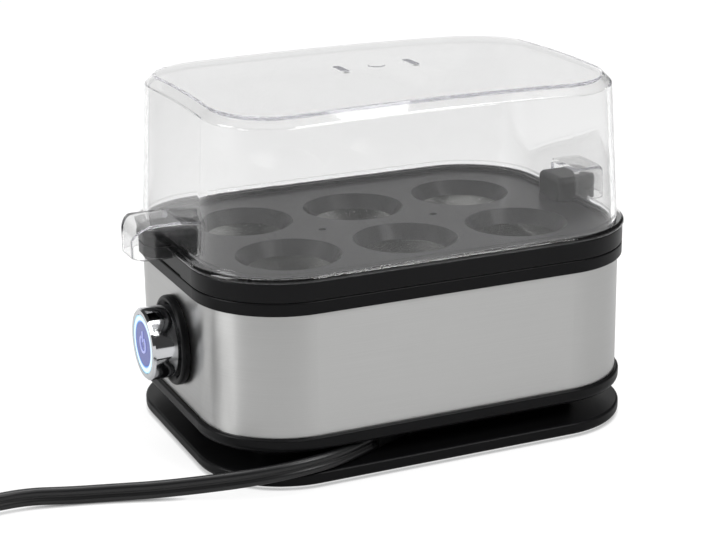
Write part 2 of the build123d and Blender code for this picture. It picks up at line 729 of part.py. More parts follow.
# Switch, its holder and the plunger that the stem pushes
switch_front = stem_end + BUTTON_TRAVEL + PLUNGER_GAP
switch_back = switch_front + SWITCH_LENGTH
holder_back = switch_back + HOLDER_WALL
plunger_bore = PLUNGER_RADIUS + SLIDE_GAP
with BuildPart() as switch_body:
    slab(switch_back, SWITCH_WIDTH, SWITCH_HEIGHT, SWITCH_LENGTH)
    disc(
        switch_front + PLUNGER_IN + BUTTON_TRAVEL + SLIDE_GAP,
        plunger_bore,
        PLUNGER_IN + BUTTON_TRAVEL + SLIDE_GAP,
        Mode.SUBTRACT,
    )
    with BuildSketch(on_button(switch_back + TAB_LENGTH)):
        with Locations((-TAB_PITCH / 2, 0), (TAB_PITCH / 2, 0)):
            Rectangle(TAB_THICK, TAB_WIDTH)
    extrude(amount=TAB_LENGTH)
finish(switch_body, "switch_body")

with BuildPart() as switch_plunger:
    disc(switch_front + PLUNGER_IN, PLUNGER_RADIUS, switch_front + PLUNGER_IN - stem_end)
finish(switch_plunger, "switch_plunger")

with BuildPart() as switch_holder:
    slab(
        holder_back,
        SWITCH_WIDTH + 2 * HOLDER_WALL,
        SWITCH_HEIGHT + 2 * HOLDER_WALL,
        holder_back - neck_back,
    )
    with BuildSketch(on_button(neck_back + HOLDER_FLANGE)):
        RectangleRounded(HOLDER_FLANGE_WIDTH, SWITCH_HEIGHT + 2 * HOLDER_WALL, HOLDER_WALL)
    extrude(amount=HOLDER_FLANGE)
    slab(switch_back, SWITCH_WIDTH + 2 * HOLDER_GAP, SWITCH_HEIGHT + 2 * HOLDER_GAP, switch_back - neck_back, Mode.SUBTRACT)
    slab(holder_back, TAB_PITCH + 2 * TAB_THICK, TAB_WIDTH + 2 * HOLDER_GAP, HOLDER_WALL, Mode.SUBTRACT)
    with BuildSketch(on_button(neck_back + HOLDER_FLANGE)):
        with Locations(*holder_screw_places):
            Circle(SMALL_SCREW_RADIUS + HOLE_GAP)
    extrude(amount=HOLDER_FLANGE, mode=Mode.SUBTRACT)
finish(switch_holder, "switch_holder")

holder_face = neck_back + HOLDER_FLANGE
with BuildPart() as holder_screws:
    with BuildSketch(on_button(holder_face + SMALL_HEAD_HEIGHT)):
        with Locations(*holder_screw_places):
            Circle(SMALL_HEAD_RADIUS)
    extrude(amount=SMALL_HEAD_HEIGHT)
    with BuildSketch(on_button(holder_face)):
        with Locations(*holder_screw_places):
            Circle(SMALL_SCREW_RADIUS)
    extrude(amount=HOLDER_FLANGE + BEZEL_REAR_WALL - THREAD_GAP)
finish(holder_screws, "holder_screws")

# Terminal block and inner wires
z_block_hole = Z_FLOOR + BLOCK_HEIGHT / 2
block_front = BLOCK_Y - BLOCK_WIDTH / 2
block_rear = BLOCK_Y + BLOCK_WIDTH / 2
block_columns = [BLOCK_X + k * BLOCK_PITCH for k in (-1, 0, 1)]
with BuildPart() as terminal_block:
    with BuildSketch(Plane.XY.offset(Z_FLOOR)):
        with Locations((BLOCK_X, BLOCK_Y)):
            RectangleRounded(BLOCK_LENGTH, BLOCK_WIDTH, BLOCK_HOLE_RADIUS)
    extrude(amount=BLOCK_HEIGHT)
    with BuildSketch(Plane.XZ.offset(-block_rear)):
        with Locations(*[(x, z_block_hole) for x in block_columns]):
            Circle(BLOCK_HOLE_RADIUS)
    extrude(amount=BLOCK_WIDTH, mode=Mode.SUBTRACT)
    pillars([(x, BLOCK_Y) for x in block_columns], BLOCK_HOLE_RADIUS, z_block_hole, Z_FLOOR + BLOCK_HEIGHT, Mode.SUBTRACT)
finish(terminal_block, "terminal_block")


def wire(*points):
    """A round insulated wire through points, with rounded corners."""
    with BuildLine() as line:
        FilletPolyline(*points, radius=CORE_BEND)
    with BuildSketch(Plane(origin=line.line @ 0, z_dir=line.line % 0)) as section:
        Circle(CORE_RADIUS)
    sweep(section.sketch, path=line.line)


gland_inner = gland_at - gland_way * GLAND_INSIDE
core_gap = CORD_THICK / 2
with BuildPart() as mains_cores:
    for side, column in ((-1, block_columns[1]), (1, block_columns[0])):
        rise_x = WIRE_HOLE_X - side * core_gap
        rise_y = wire_hole_y - side * core_gap
        start = gland_inner + Vector(0, 0, side * core_gap)
        level = z_cord + side * core_gap
        wire(
            start,
            start - gland_way * 2 * CORE_BEND,
            (rise_x, rise_y, level),
            (rise_x, rise_y, z_block_hole),
            (column, rise_y, z_block_hole),
            (column, block_rear - BLOCK_HOLE_RADIUS, z_block_hole),
        )
finish(mains_cores, "mains_cores")

tab_end = switch_back + TAB_LENGTH
tab_low = z_thermostat - TAB_LENGTH
pin_end = element_end - BEAD_LENGTH - PIN_LENGTH
lead_end = FUSE_LENGTH / 2 + FUSE_LEAD
neutral_y = post_radius + POST_INSET + CORE_RADIUS + LEAD_CLEAR - SIDE_Y
live_y = neutral_y + LEAD_PITCH
block_mouth = block_front + BLOCK_HOLE_RADIUS
fuse_turn = lead_end + LEAD_TURN - CORE_RADIUS / 2
with BuildPart() as live_lead:
    wire(
        (tab_end, BUTTON_Y - TAB_PITCH / 2, Z_BUTTON),
        (tab_end + 2 * LEAD_TURN, BUTTON_Y - TAB_PITCH / 2, Z_BUTTON),
        (tab_end + 2 * LEAD_TURN, live_y, z_block_hole),
        (block_columns[0], live_y, z_block_hole),
        (block_columns[0], block_mouth, z_block_hole),
    )
finish(live_lead, "live_lead")

with BuildPart() as switch_lead:
    wire(
        (tab_end, BUTTON_Y + TAB_PITCH / 2, Z_BUTTON),
        (tab_end + 2 * LEAD_TURN, BUTTON_Y + TAB_PITCH / 2, Z_BUTTON),
        (tab_end + 4 * LEAD_TURN, BUTTON_Y / 2, tab_low - 2 * LEAD_TURN),
        (THERMOSTAT_X - TAB_PITCH / 2, 0, tab_low - 2 * LEAD_TURN),
        (THERMOSTAT_X - TAB_PITCH / 2, 0, tab_low),
    )
finish(switch_lead, "switch_lead")

with BuildPart() as fuse_lead:
    wire(
        (THERMOSTAT_X + TAB_PITCH / 2, 0, tab_low),
        (THERMOSTAT_X + TAB_PITCH / 2, 0, tab_low - LEAD_TURN),
        (FUSE_X, -fuse_turn, tab_low),
        (FUSE_X, -fuse_turn, z_fuse),
        (FUSE_X, -lead_end, z_fuse),
    )
finish(fuse_lead, "fuse_lead")

with BuildPart() as element_lead:
    wire(
        (FUSE_X, lead_end, z_fuse),
        (FUSE_X, fuse_turn, z_fuse),
        (FUSE_X, fuse_turn, tab_low),
        (pin_end - LEAD_TURN, element_side, tab_low),
        (pin_end - LEAD_TURN, element_side, z_element),
        (pin_end, element_side, z_element),
    )
finish(element_lead, "element_lead")

with BuildPart() as neutral_lead:
    wire(
        (pin_end, -element_side, z_element),
        (pin_end - LEAD_TURN, -element_side, z_element),
        (pin_end - LEAD_TURN, neutral_y, z_block_hole),
        (block_columns[1], neutral_y, z_block_hole),
        (block_columns[1], block_mouth, z_block_hole),
    )
finish(neutral_lead, "neutral_lead")

# Egg tray: rim, deck with conical seats, and a grip tongue at each end
tray_end = END_X + BAND_OUT
tongue_tip = END_X + TONGUE_REACH
z_tongue = Z_DECK + TONGUE_HEIGHT
z_seat = Z_DECK - SEAT_DEPTH
seats = [(x * SEAT_PITCH_X, y * SEAT_PITCH_Y / 2) for x in (-1, 0, 1) for y in (-1, 1)]
steam_holes = [(x * SEAT_PITCH_X / 2, 0) for x in (-1, 1)]


def tongue(half, corner, root_x, tip_x, mode=Mode.ADD):
    """A plan with straight sides from root_x out to tip_x, and round outer corners."""
    round_x = tip_x - math.copysign(corner, tip_x)
    inner_x = round_x + math.copysign(TONGUE_ROOT_ROUND, tip_x)
    with Locations(((root_x + inner_x) / 2, 0)):
        RectangleRounded(abs(inner_x - root_x), 2 * half, TONGUE_ROOT_ROUND, mode=mode)
    with Locations((round_x, 0)):
        Rectangle(2 * corner, 2 * (half - corner), mode=mode)
    with Locations((round_x, corner - half), (round_x, half - corner)):
        Circle(corner, mode=mode)


def overhang(inset, side):
    """The part of a tongue's plan, moved inwards by inset, that stands out past the tray's rim."""
    tongue(TONGUE_HALF - inset, TONGUE_CORNER - inset, side * (END_X - TONGUE_ROOT), side * (tongue_tip - inset))
    Rectangle(2 * (tray_end + HOOD_RIM_GAP), 4 * TONGUE_HALF, mode=Mode.SUBTRACT)


with BuildPart() as egg_tray:
    block(BAND_OUT, Z_TRAY, Z_LID)
    fillet(egg_tray.faces().sort_by(Axis.Z)[-1].edges(), RIM_ROUND)
    fillet(egg_tray.faces().sort_by(Axis.Z)[0].edges(), RIM_ROUND)
    block(BAND_OUT - RIM_WALL, Z_TRAY, Z_DECK - DECK_THICK, Mode.SUBTRACT)
    block(-DECK_IN, Z_DECK, Z_LID, Mode.SUBTRACT)
    with Locations((0, 0, z_seat)):
        with Locations(*seats):
            Cone(
                SEAT_HOLE_RADIUS + SEAT_WALL,
                SEAT_HOLE_RADIUS + SEAT_FLARE + SEAT_WALL,
                SEAT_DEPTH,
                align=(Align.CENTER, Align.CENTER, Align.MIN),
            )
    with Locations((0, 0, z_seat)):
        with Locations(*seats):
            Cone(
                SEAT_HOLE_RADIUS,
                SEAT_HOLE_RADIUS + SEAT_FLARE,
                SEAT_DEPTH,
                align=(Align.CENTER, Align.CENTER, Align.MIN),
                mode=Mode.SUBTRACT,
            )
    pillars(steam_holes, STEAM_HOLE_RADIUS, Z_DECK - DECK_THICK, Z_DECK, Mode.SUBTRACT)
    for side in (-1, 1):
        with BuildSketch(Plane.XY.offset(Z_DECK)):
            tongue(TONGUE_HALF, TONGUE_CORNER, side * (END_X - TONGUE_ROOT), side * tongue_tip)
        extrude(amount=TONGUE_HEIGHT)
        with BuildSketch(Plane.XY.offset(Z_DECK)):
            overhang(TONGUE_WALL, side)
        extrude(amount=TONGUE_HEIGHT - TONGUE_WALL, mode=Mode.SUBTRACT)
        with BuildSketch(Plane.XY.offset(Z_DECK)):
            overhang(-TONGUE_WALL, side)
        extrude(amount=TONGUE_LIFT, mode=Mode.SUBTRACT)
        with BuildSketch(Plane.XY.offset(Z_DECK + GROOVE_RISE)):
            overhang(-TONGUE_WALL, side)
            tongue(
                TONGUE_HALF - GROOVE_DEPTH,
                TONGUE_CORNER - GROOVE_DEPTH,
                side * (END_X - TONGUE_ROOT),
                side * (tongue_tip - GROOVE_DEPTH),
                Mode.SUBTRACT,
            )
        extrude(amount=GROOVE_HEIGHT, mode=Mode.SUBTRACT)
        with BuildSketch(Plane.XY.offset(Z_TRAY)):
            with Locations((side * tray_end, 0)):
                Rectangle(2 * RIM_WALL, NOTCH_WIDTH)
        extrude(amount=NOTCH_HEIGHT, mode=Mode.SUBTRACT)
    fillet(egg_tray.faces().group_by(Axis.Z)[-1].edges(), TONGUE_ROUND)
finish(egg_tray, "egg_tray")

# Lid: dome solids for the outside and the inside of its top
lid_foot = -LID_FOOT_IN
lid_slope = LID_DRAFT / LID_HEIGHT
lid_slope_end = LID_DRAFT_END / LID_HEIGHT
z_flange_top = Z_LID + LID_FLANGE_THICK
dome_half_x = END_X - LID_DRAFT_END
dome_half_y = SIDE_Y - LID_DRAFT
dome_radius_x = dome_half_x**2 / (2 * LID_CROWN_ALONG)
dome_radius_y = dome_half_y**2 / (2 * LID_CROWN_ACROSS)
dome_turn = math.degrees(1.3 * END_X / dome_radius_x)
dome_axis_z = Z_LID_APEX - dome_radius_x


def dome(apex):
    """A thick slab whose top is crowned along and across, with its highest point at apex."""
    edge_drop = dome_radius_y - math.sqrt(dome_radius_y**2 - SLEEVE_WIDTH**2 / 4)
    for way in (-1, 1):
        with BuildSketch(Plane.YZ) as profile:
            with BuildLine():
                ThreePointArc((-SIDE_Y, apex - edge_drop), (0, apex), (SIDE_Y, apex - edge_drop))
                Polyline(
                    (SIDE_Y, apex - edge_drop),
                    (SIDE_Y, apex - 2 * LID_HEIGHT),
                    (-SIDE_Y, apex - 2 * LID_HEIGHT),
                    (-SIDE_Y, apex - edge_drop),
                )
            make_face()
        turning = Axis((0, 0, dome_axis_z), (0, way, 0))
        revolve(profile.sketch.face(), axis=turning, revolution_arc=dome_turn)


with BuildPart() as dome_outside:
    dome(Z_LID_APEX)

with BuildPart() as dome_inside:
    dome(Z_LID_APEX - LID_WALL)


def lid_block(inset, bottom, rise):
    """The lid's leaning walls, moved inwards by inset, from bottom up past the crown."""
    sections = []
    for level in (bottom, Z_LID_APEX + rise):
        side = lid_foot - inset - (level - Z_LID) * lid_slope
        end = lid_foot - inset - (level - Z_LID) * lid_slope_end
        with BuildSketch(Plane.XY.offset(level)) as section:
            RectangleRounded(SLEEVE_LENGTH + 2 * end, SLEEVE_WIDTH + 2 * side, SLEEVE_CORNER + side)
        sections.append(section.sketch.face())
    loft(sections, ruled=True)


def away(point, others):
    """How far a corner is from the nearest of some others."""
    return min((point.center() - other.center()).length for other in others)


with BuildPart() as lid_outside:
    lid_block(0, Z_LID, LID_WALL)
    add(dome_outside.part, mode=Mode.INTERSECT)
    chamfer(lid_outside.faces().sort_by(Axis.Z)[-1].edges(), LID_BEVEL)
    crown = lid_outside.faces().sort_by(Axis.Z)[-1].vertices()
    shoulder = lid_outside.edges().filter_by(lambda e: e.center().Z > Z_LID + 0.8 * LID_HEIGHT)
    shoulder = shoulder.filter_by(lambda e: min(away(v, crown) for v in e.vertices()) > LID_WALL)
    fillet(shoulder, LID_BEVEL_SOFT)
    fillet(lid_outside.faces().sort_by(Axis.Z)[-1].edges(), LID_BEVEL_SOFT)

with BuildPart() as lid_inside:
    lid_block(LID_WALL, Z_LID, LID_WALL)
    add(dome_inside.part, mode=Mode.INTERSECT)
    chamfer(lid_inside.faces().sort_by(Axis.Z)[-1].edges(), LID_BEVEL - LID_WALL * 0.4)

# Lid hoods that close over the tongues
hood_half = TONGUE_HALF + HOOD_GAP + HOOD_WALL
hood_tip = tongue_tip + HOOD_TIP_GAP + HOOD_WALL
z_hood = z_tongue + HOOD_TOP_GAP + HOOD_WALL
z_hood_low = Z_LID - HOOD_DROP
hood_root = END_X - 2 * TONGUE_ROOT


def hood(inset):
    """A hood's block moved inwards by inset: round corners in plan, a round brow and rounded top edges."""
    with BuildSketch(Plane.XY.offset(z_hood_low)) as plan:
        tongue(hood_half - inset, HOOD_CORNER - inset, hood_root, hood_tip - inset)
    extrude(plan.sketch, amount=z_hood - inset - z_hood_low)
    with BuildSketch(Plane.XZ) as side:
        with Locations((hood_tip - HOOD_BROW, z_hood - HOOD_BROW)):
            Circle(HOOD_BROW - inset)
            Rectangle(HOOD_BROW - inset, z_hood, align=(Align.MIN, Align.MAX))
        with Locations((hood_tip - HOOD_BROW, z_hood - inset)):
            Rectangle(hood_tip, z_hood, align=(Align.MAX, Align.MAX))
    extrude(side.sketch, amount=2 * hood_half, both=True, mode=Mode.INTERSECT)
    with BuildSketch(Plane.YZ) as end:
        with Locations((0, z_hood - inset - hood_half)):
            RectangleRounded(2 * (hood_half - inset), 2 * hood_half, HOOD_BEVEL - inset / 2)
        with Locations((0, z_hood - inset - hood_half)):
            Rectangle(2 * (hood_half - inset), 2 * hood_half, align=(Align.CENTER, Align.MAX))
    extrude(end.sketch, amount=2 * hood_tip, mode=Mode.INTERSECT)


with BuildPart() as hood_outside:
    hood(0)
    with BuildSketch(Plane.XY.offset(z_hood_low)):
        Rectangle(2 * (tray_end + HOOD_RIM_GAP), 4 * hood_half)
    extrude(amount=HOOD_DROP, mode=Mode.SUBTRACT)

with BuildPart() as hood_inside:
    hood(HOOD_WALL)

with BuildPart() as lid:
    block(LID_FLANGE_OUT, Z_LID, z_flange_top)
    fillet(lid.faces().sort_by(Axis.Z)[-1].edges(), LID_FLANGE_ROUND)
    fillet(lid.faces().sort_by(Axis.Z)[0].edges(), LID_FLANGE_FOOT)
    add(lid_outside.part)
    add(hood_outside.part)
    add(mirror(hood_outside.part, about=Plane.YZ, mode=Mode.PRIVATE))
    with BuildSketch(Plane.XY.offset(Z_LID_APEX - LID_WALL / 2)):
        with Locations((-VENT_PITCH / 2, 0), (VENT_PITCH / 2, 0)):
            SlotOverall(VENT_LENGTH + 2 * VENT_LIP, VENT_WIDTH + 2 * VENT_LIP, rotation=90)
    extrude(amount=LID_WALL / 2 + VENT_LIP_RAISE)
    with BuildSketch(Plane.XY.offset(Z_LID_APEX - LID_WALL / 2)):
        Circle(GATE_RADIUS)
    extrude(amount=LID_WALL / 2 + GATE_RAISE)
    add(lid_inside.part, mode=Mode.SUBTRACT)
    add(hood_inside.part, mode=Mode.SUBTRACT)
    add(mirror(hood_inside.part, about=Plane.YZ, mode=Mode.PRIVATE), mode=Mode.SUBTRACT)
    with BuildSketch(Plane.XY.offset(Z_LID_APEX - 2 * LID_WALL)):
        with Locations((-VENT_PITCH / 2, 0), (VENT_PITCH / 2, 0)):
            SlotOverall(VENT_LENGTH, VENT_WIDTH, rotation=90)
    extrude(amount=4 * LID_WALL, mode=Mode.SUBTRACT)
finish(lid, "lid")

# Cord: bush in the waist, free stretch on the floor, coil, tie and plug
gland_tip = gland_at + gland_way * GLAND_LENGTH
z_lying = CORD_TALL / 2 + CORD_LIFT
z_coil = CORD_TALL / 2 + TIE_THICK + 2 * TIE_GAP
coil_front = COIL_Y - COIL_RADIUS
cord_join = Vector(COIL_X + COIL_LEAD, coil_front, z_coil)
route = [
    gland_tip,
    gland_tip + gland_way * 17.0,
    Vector(-62.9, -67.0, 9.8),
    Vector(-81.6, -63.6, 8.0),
    Vector(-98.3, -56.0, 5.6),
    Vector(-113.5, -49.4, 4.0),
    Vector(-128.5, -43.6, z_lying),
    Vector(-143.5, -39.2, z_lying),
    cord_join + Vector(14.0, 0, 0),
    cord_join,
]


def cord_section(plane):
    """The cord's flat section on a plane, standing on edge."""
    with BuildSketch(plane) as section:
        SlotOverall(CORD_TALL, CORD_THICK, rotation=90)
    return section.sketch


def upright(origin, way):
    """A plane square to way whose own Y points as far up as it can."""
    return Plane(origin=origin, x_dir=way.cross(Vector(0, 0, 1)), z_dir=way)


gland_tall = WRAP_GAP - 2 * GLAND_ROOM
with BuildPart() as cord_gland:
    with BuildSketch(gland_plane.offset(-GLAND_INSIDE)):
        Rectangle(GLAND_THICK - 2 * FIT_GAP, gland_tall)
    extrude(amount=GLAND_INSIDE)
    with BuildSketch(gland_plane):
        SlotOverall(gland_tall, GLAND_THICK - 2 * FIT_GAP, rotation=90)
    with BuildSketch(gland_plane.offset(GLAND_LENGTH)):
        SlotOverall(CORD_TALL + GLAND_ROOM, GLAND_TIP_THICK, rotation=90)
    loft(ruled=True)
finish(cord_gland, "cord_gland")

turns = [
    (b - a).get_angle(c - b) for a, b, c in zip(route, route[1:], route[2:])
]
runs = [(b - a).length for a, b in zip(route, route[1:])]
radii = [
    0.45 * min(before, after) / math.tan(math.radians(turn / 2))
    for before, after, turn in zip(runs, runs[1:], turns)
]
with BuildPart() as power_cord:
    with BuildLine() as cord_line:
        FilletPolyline(*route, radius=radii)
    sweep(cord_section(upright(route[0], gland_way)), path=cord_line.line)
finish(power_cord, "power_cord")
print("cord radii", [round(r) for r in radii], "least is", round(min(radii) / CORD_TALL, 1), "widths")
section_area = cord_section(Plane.XY).area
cord_run = cord_line.wires()[0].length
print("cord volume", round(power_cord.part.volume), "of", round(section_area * cord_run))

# Coil: a spiral of half turns inwards, a half turn that climbs, and half turns outwards on top
coil_back = [
    COIL_RADIUS,
    COIL_RADIUS - COIL_PITCH,
    COIL_RADIUS - COIL_PITCH,
]
coil_front_radius = [
    COIL_RADIUS,
    COIL_RADIUS - COIL_PITCH,
    COIL_RADIUS - 2 * COIL_PITCH,
    COIL_RADIUS,
]
z_upper = z_coil + COIL_LAYER
z_plug = PLUG_TALL / 2 + CORD_LIFT
leftwards = Vector(-1, 0, 0)
rightwards = Vector(1, 0, 0)


def coil_point(radius, side, height):
    """A point on the coil's front (-1) or back (1) line at a radius."""
    return Vector(COIL_X, COIL_Y + side * radius, height)


climb_radius = COIL_RADIUS - 1.5 * COIL_PITCH
climb_start = coil_point(coil_back[1], 1, z_coil)
climb_end = coil_point(coil_front_radius[2], -1, z_upper)
climb_middle = Vector(COIL_X + climb_radius, COIL_Y + COIL_PITCH / 2, z_coil)
climb_way = Vector(0, -1, 0)
tail_start = coil_point(coil_front_radius[3], -1, z_upper)
tail_turn = tail_start + leftwards * TAIL_STRAIGHT
tail_foot = tail_turn + leftwards * TAIL_DROP
tail_foot = Vector(tail_foot.X, tail_foot.Y, z_plug)
tail_end = tail_foot + leftwards * TAIL_END


def half_turn(start, end, side):
    """A level half circle from start to end that bulges to the left (-1) or the right (1)."""
    ThreePointArc(start, (start + end) * 0.5 + rightwards * side * (end - start).length / 2, end)


with BuildPart() as cord_coil:
    with BuildLine() as coil_line:
        Line(cord_join, coil_point(coil_front_radius[0], -1, z_coil))
        half_turn(coil_point(coil_front_radius[0], -1, z_coil), coil_point(coil_back[0], 1, z_coil), -1)
        half_turn(coil_point(coil_back[0], 1, z_coil), coil_point(coil_front_radius[1], -1, z_coil), 1)
        half_turn(coil_point(coil_front_radius[1], -1, z_coil), climb_start, -1)
        biarc(climb_start, rightwards, climb_middle, climb_way)
        biarc(climb_middle, climb_way, climb_end, leftwards)
        half_turn(climb_end, coil_point(coil_back[2], 1, z_upper), -1)
        half_turn(coil_point(coil_back[2], 1, z_upper), tail_start, 1)
        Line(tail_start, tail_turn)
        biarc(tail_turn, leftwards, tail_foot, leftwards)
        Line(tail_foot, tail_end)
    sweep(cord_section(upright(cord_join, leftwards)), path=coil_line.line)
finish(cord_coil, "cord_coil")
coil_wire = coil_line.wires()[0]
coil_length = coil_wire.length
coil_samples = [coil_wire @ (k / 800) for k in range(801)]
print("coil volume", round(cord_coil.part.volume), "of", round(section_area * coil_length))
print("coil gap", round(least_gap(coil_samples, coil_length / 800, CORD_THICK, CORD_TALL), 2))
print("cord length", round(GLAND_LENGTH + cord_run + coil_length))

tie_bow = (TIE_WIDTH + COIL_PITCH) ** 2 / 8 / climb_radius
tie_outer = COIL_RADIUS + CORD_THICK / 2 + TIE_GAP
tie_inner = climb_radius - CORD_THICK / 2 - TIE_GAP - tie_bow
tie_low = z_coil - CORD_TALL / 2 - TIE_GAP
tie_high = z_upper + CORD_TALL / 2 + TIE_GAP
with BuildPart() as cord_tie:
    with BuildSketch(Plane.XZ.offset(-COIL_Y - TIE_WIDTH / 2)):
        with Locations((COIL_X - (tie_outer + tie_inner) / 2, (tie_low + tie_high) / 2)):
            Rectangle(tie_outer - tie_inner + 2 * TIE_THICK, tie_high - tie_low + 2 * TIE_THICK)
            Rectangle(tie_outer - tie_inner, tie_high - tie_low, mode=Mode.SUBTRACT)
    extrude(amount=TIE_WIDTH)
finish(cord_tie, "cord_tie")

# Flat two-pin plug, lying beside the coil
plug_plane = upright(tail_end, leftwards)
body_start = PLUG_BOOT
body_end = PLUG_BOOT + PLUG_LENGTH
with BuildPart() as plug_body:
    with BuildSketch(plug_plane):
        RectangleRounded(PLUG_BOOT_THICK, PLUG_BOOT_TALL, PLUG_ROUND)
    with BuildSketch(plug_plane.offset(body_start)):
        RectangleRounded(PLUG_NECK, PLUG_BOOT_TALL, PLUG_ROUND)
    with BuildSketch(plug_plane.offset(body_start + PLUG_LENGTH / 2)):
        RectangleRounded(PLUG_WIDTH, PLUG_TALL, PLUG_ROUND)
    loft(ruled=True)
    with BuildSketch(plug_plane.offset(body_start + PLUG_LENGTH / 2)):
        RectangleRounded(PLUG_WIDTH, PLUG_TALL, PLUG_ROUND)
    extrude(amount=PLUG_LENGTH / 2)
    fillet(plug_body.faces().sort_by(Axis.X)[0].edges(), PLUG_ROUND / 2)
finish(plug_body, "plug_body")

with BuildPart() as plug_pins:
    with BuildSketch(plug_plane.offset(body_end)):
        with Locations((-PLUG_PIN_PITCH / 2, 0), (PLUG_PIN_PITCH / 2, 0)):
            Circle(PLUG_PIN_RADIUS)
    extrude(amount=PLUG_PIN_LENGTH)
    fillet(plug_pins.faces().group_by(Axis.X)[0].edges(), PLUG_PIN_RADIUS / 2)
finish(plug_pins, "plug_pins")
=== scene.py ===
"""Electric egg cooker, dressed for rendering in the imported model's own frame, in metres, +Z up."""

import logging
import math
from dataclasses import dataclass, field
from enum import Enum

import bpy
import numpy as np
from mathutils import Matrix, Vector

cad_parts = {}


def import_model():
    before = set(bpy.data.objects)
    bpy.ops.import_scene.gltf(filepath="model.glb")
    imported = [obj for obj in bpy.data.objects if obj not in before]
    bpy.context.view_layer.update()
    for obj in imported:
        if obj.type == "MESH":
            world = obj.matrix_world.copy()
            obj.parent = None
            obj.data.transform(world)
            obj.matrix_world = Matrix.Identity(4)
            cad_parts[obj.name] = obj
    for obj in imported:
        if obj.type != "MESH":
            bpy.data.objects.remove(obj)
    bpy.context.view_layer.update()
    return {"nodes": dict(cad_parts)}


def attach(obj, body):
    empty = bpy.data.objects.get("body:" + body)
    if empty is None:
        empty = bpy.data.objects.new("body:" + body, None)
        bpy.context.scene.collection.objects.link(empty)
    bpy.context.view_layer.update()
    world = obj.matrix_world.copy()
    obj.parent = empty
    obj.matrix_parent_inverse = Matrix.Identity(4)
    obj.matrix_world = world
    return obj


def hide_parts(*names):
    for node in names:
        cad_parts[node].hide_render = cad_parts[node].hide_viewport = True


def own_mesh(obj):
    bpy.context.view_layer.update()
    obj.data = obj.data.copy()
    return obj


log = logging.getLogger("egg_cooker")
MM = 0.001
PHOTO_WIDTH = 716
# Depth of a full step in a surface's relief
RELIEF = 0.2 * MM
# Radians of wave for each unit of a wave texture's scale
WAVE_UNIT = 20
# Numbers of a colour mix's sockets, whose names are shared by its sockets for other types
MIX_SHARE, MIX_FROM, MIX_TO, MIX_RESULT = 0, 6, 7, 2


class Body(Enum):
    """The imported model's rigid bodies."""

    HOUSING = "housing"
    TRAY = "tray"
    LID = "lid"
    BUTTON = "button"


class Lay(Enum):
    """How a pattern's grain runs over a piece."""

    EVEN = (1.0, 1.0, 1.0)
    LEVEL = (0.006, 0.006, 1.0)


def linear(colour: str) -> tuple[float, float, float, float]:
    """Turn an sRGB hex colour into linear light: in proportion near black, by a power of 2.4 above.

    Args:
        colour: six hex digits after a hash sign.

    Returns:
        Red, green, blue and a full alpha.
    """
    srgb = np.array([int(colour[i : i + 2], 16) for i in (1, 3, 5)]) / 255
    light = np.where(srgb <= 0.04045, srgb / 12.92, ((srgb + 0.055) / 1.055) ** 2.4)
    return (*light.tolist(), 1.0)


def put(
    tree: bpy.types.NodeTree, kind: str, links: dict | None = None, **settings: object
) -> bpy.types.Node:
    """Add one node with its settings and the links into it.

    Args:
        tree: the node tree to add to.
        kind: the node's type name, after ShaderNode.
        links: input name or number to an output socket, or to a constant.
        settings: properties of the node.

    Returns:
        The new node.
    """
    node = tree.nodes.new("ShaderNode" + kind)
    for name, value in settings.items():
        setattr(node, name, value)
    for key, value in (links or {}).items():
        if isinstance(value, bpy.types.NodeSocket):
            tree.links.new(value, node.inputs[key])
        else:
            node.inputs[key].default_value = value
    return node


def mesh_object(name: str, points: np.ndarray, faces: np.ndarray, smooth: bool = True) -> bpy.types.Object:
    """Make a mesh object whose place is in its vertices.

    Args:
        name: the piece's name.
        points: one row of x, y, z in metres for each vertex.
        faces: one row of four vertex numbers for each face.
        smooth: whether the faces are shaded smooth.

    Returns:
        The object, linked into the scene at the origin.
    """
    mesh = bpy.data.meshes.new(name)
    mesh.from_pydata(points.reshape(-1, 3).tolist(), [], faces.reshape(-1, 4).tolist())
    mesh.polygons.foreach_set("use_smooth", [smooth] * len(mesh.polygons))
    mesh.validate()
    mesh.update()
    piece = bpy.data.objects.new(name, mesh)
    bpy.context.scene.collection.objects.link(piece)
    return piece


def grid_faces(rows: int, columns: int, wrap: bool = True) -> np.ndarray:
    """Number the quads of a grid of rows times columns vertices.

    A vertex's number is its row times the count of columns, plus its column. A quad takes two neighbours
    in one row, and then the same two in the next row, the other way round.

    Args:
        rows: vertices along the first parameter.
        columns: vertices along the second parameter.
        wrap: whether the last column joins the first.

    Returns:
        An array of four vertex numbers for each quad.
    """
    row, column = np.meshgrid(np.arange(rows - 1), np.arange(columns - (not wrap)), indexing="ij")
    following = (column + 1) % columns
    corners = [row * columns + column, row * columns + following]
    corners += [(row + 1) * columns + following, (row + 1) * columns + column]
    return np.stack(corners, axis=-1).reshape(-1, 4)


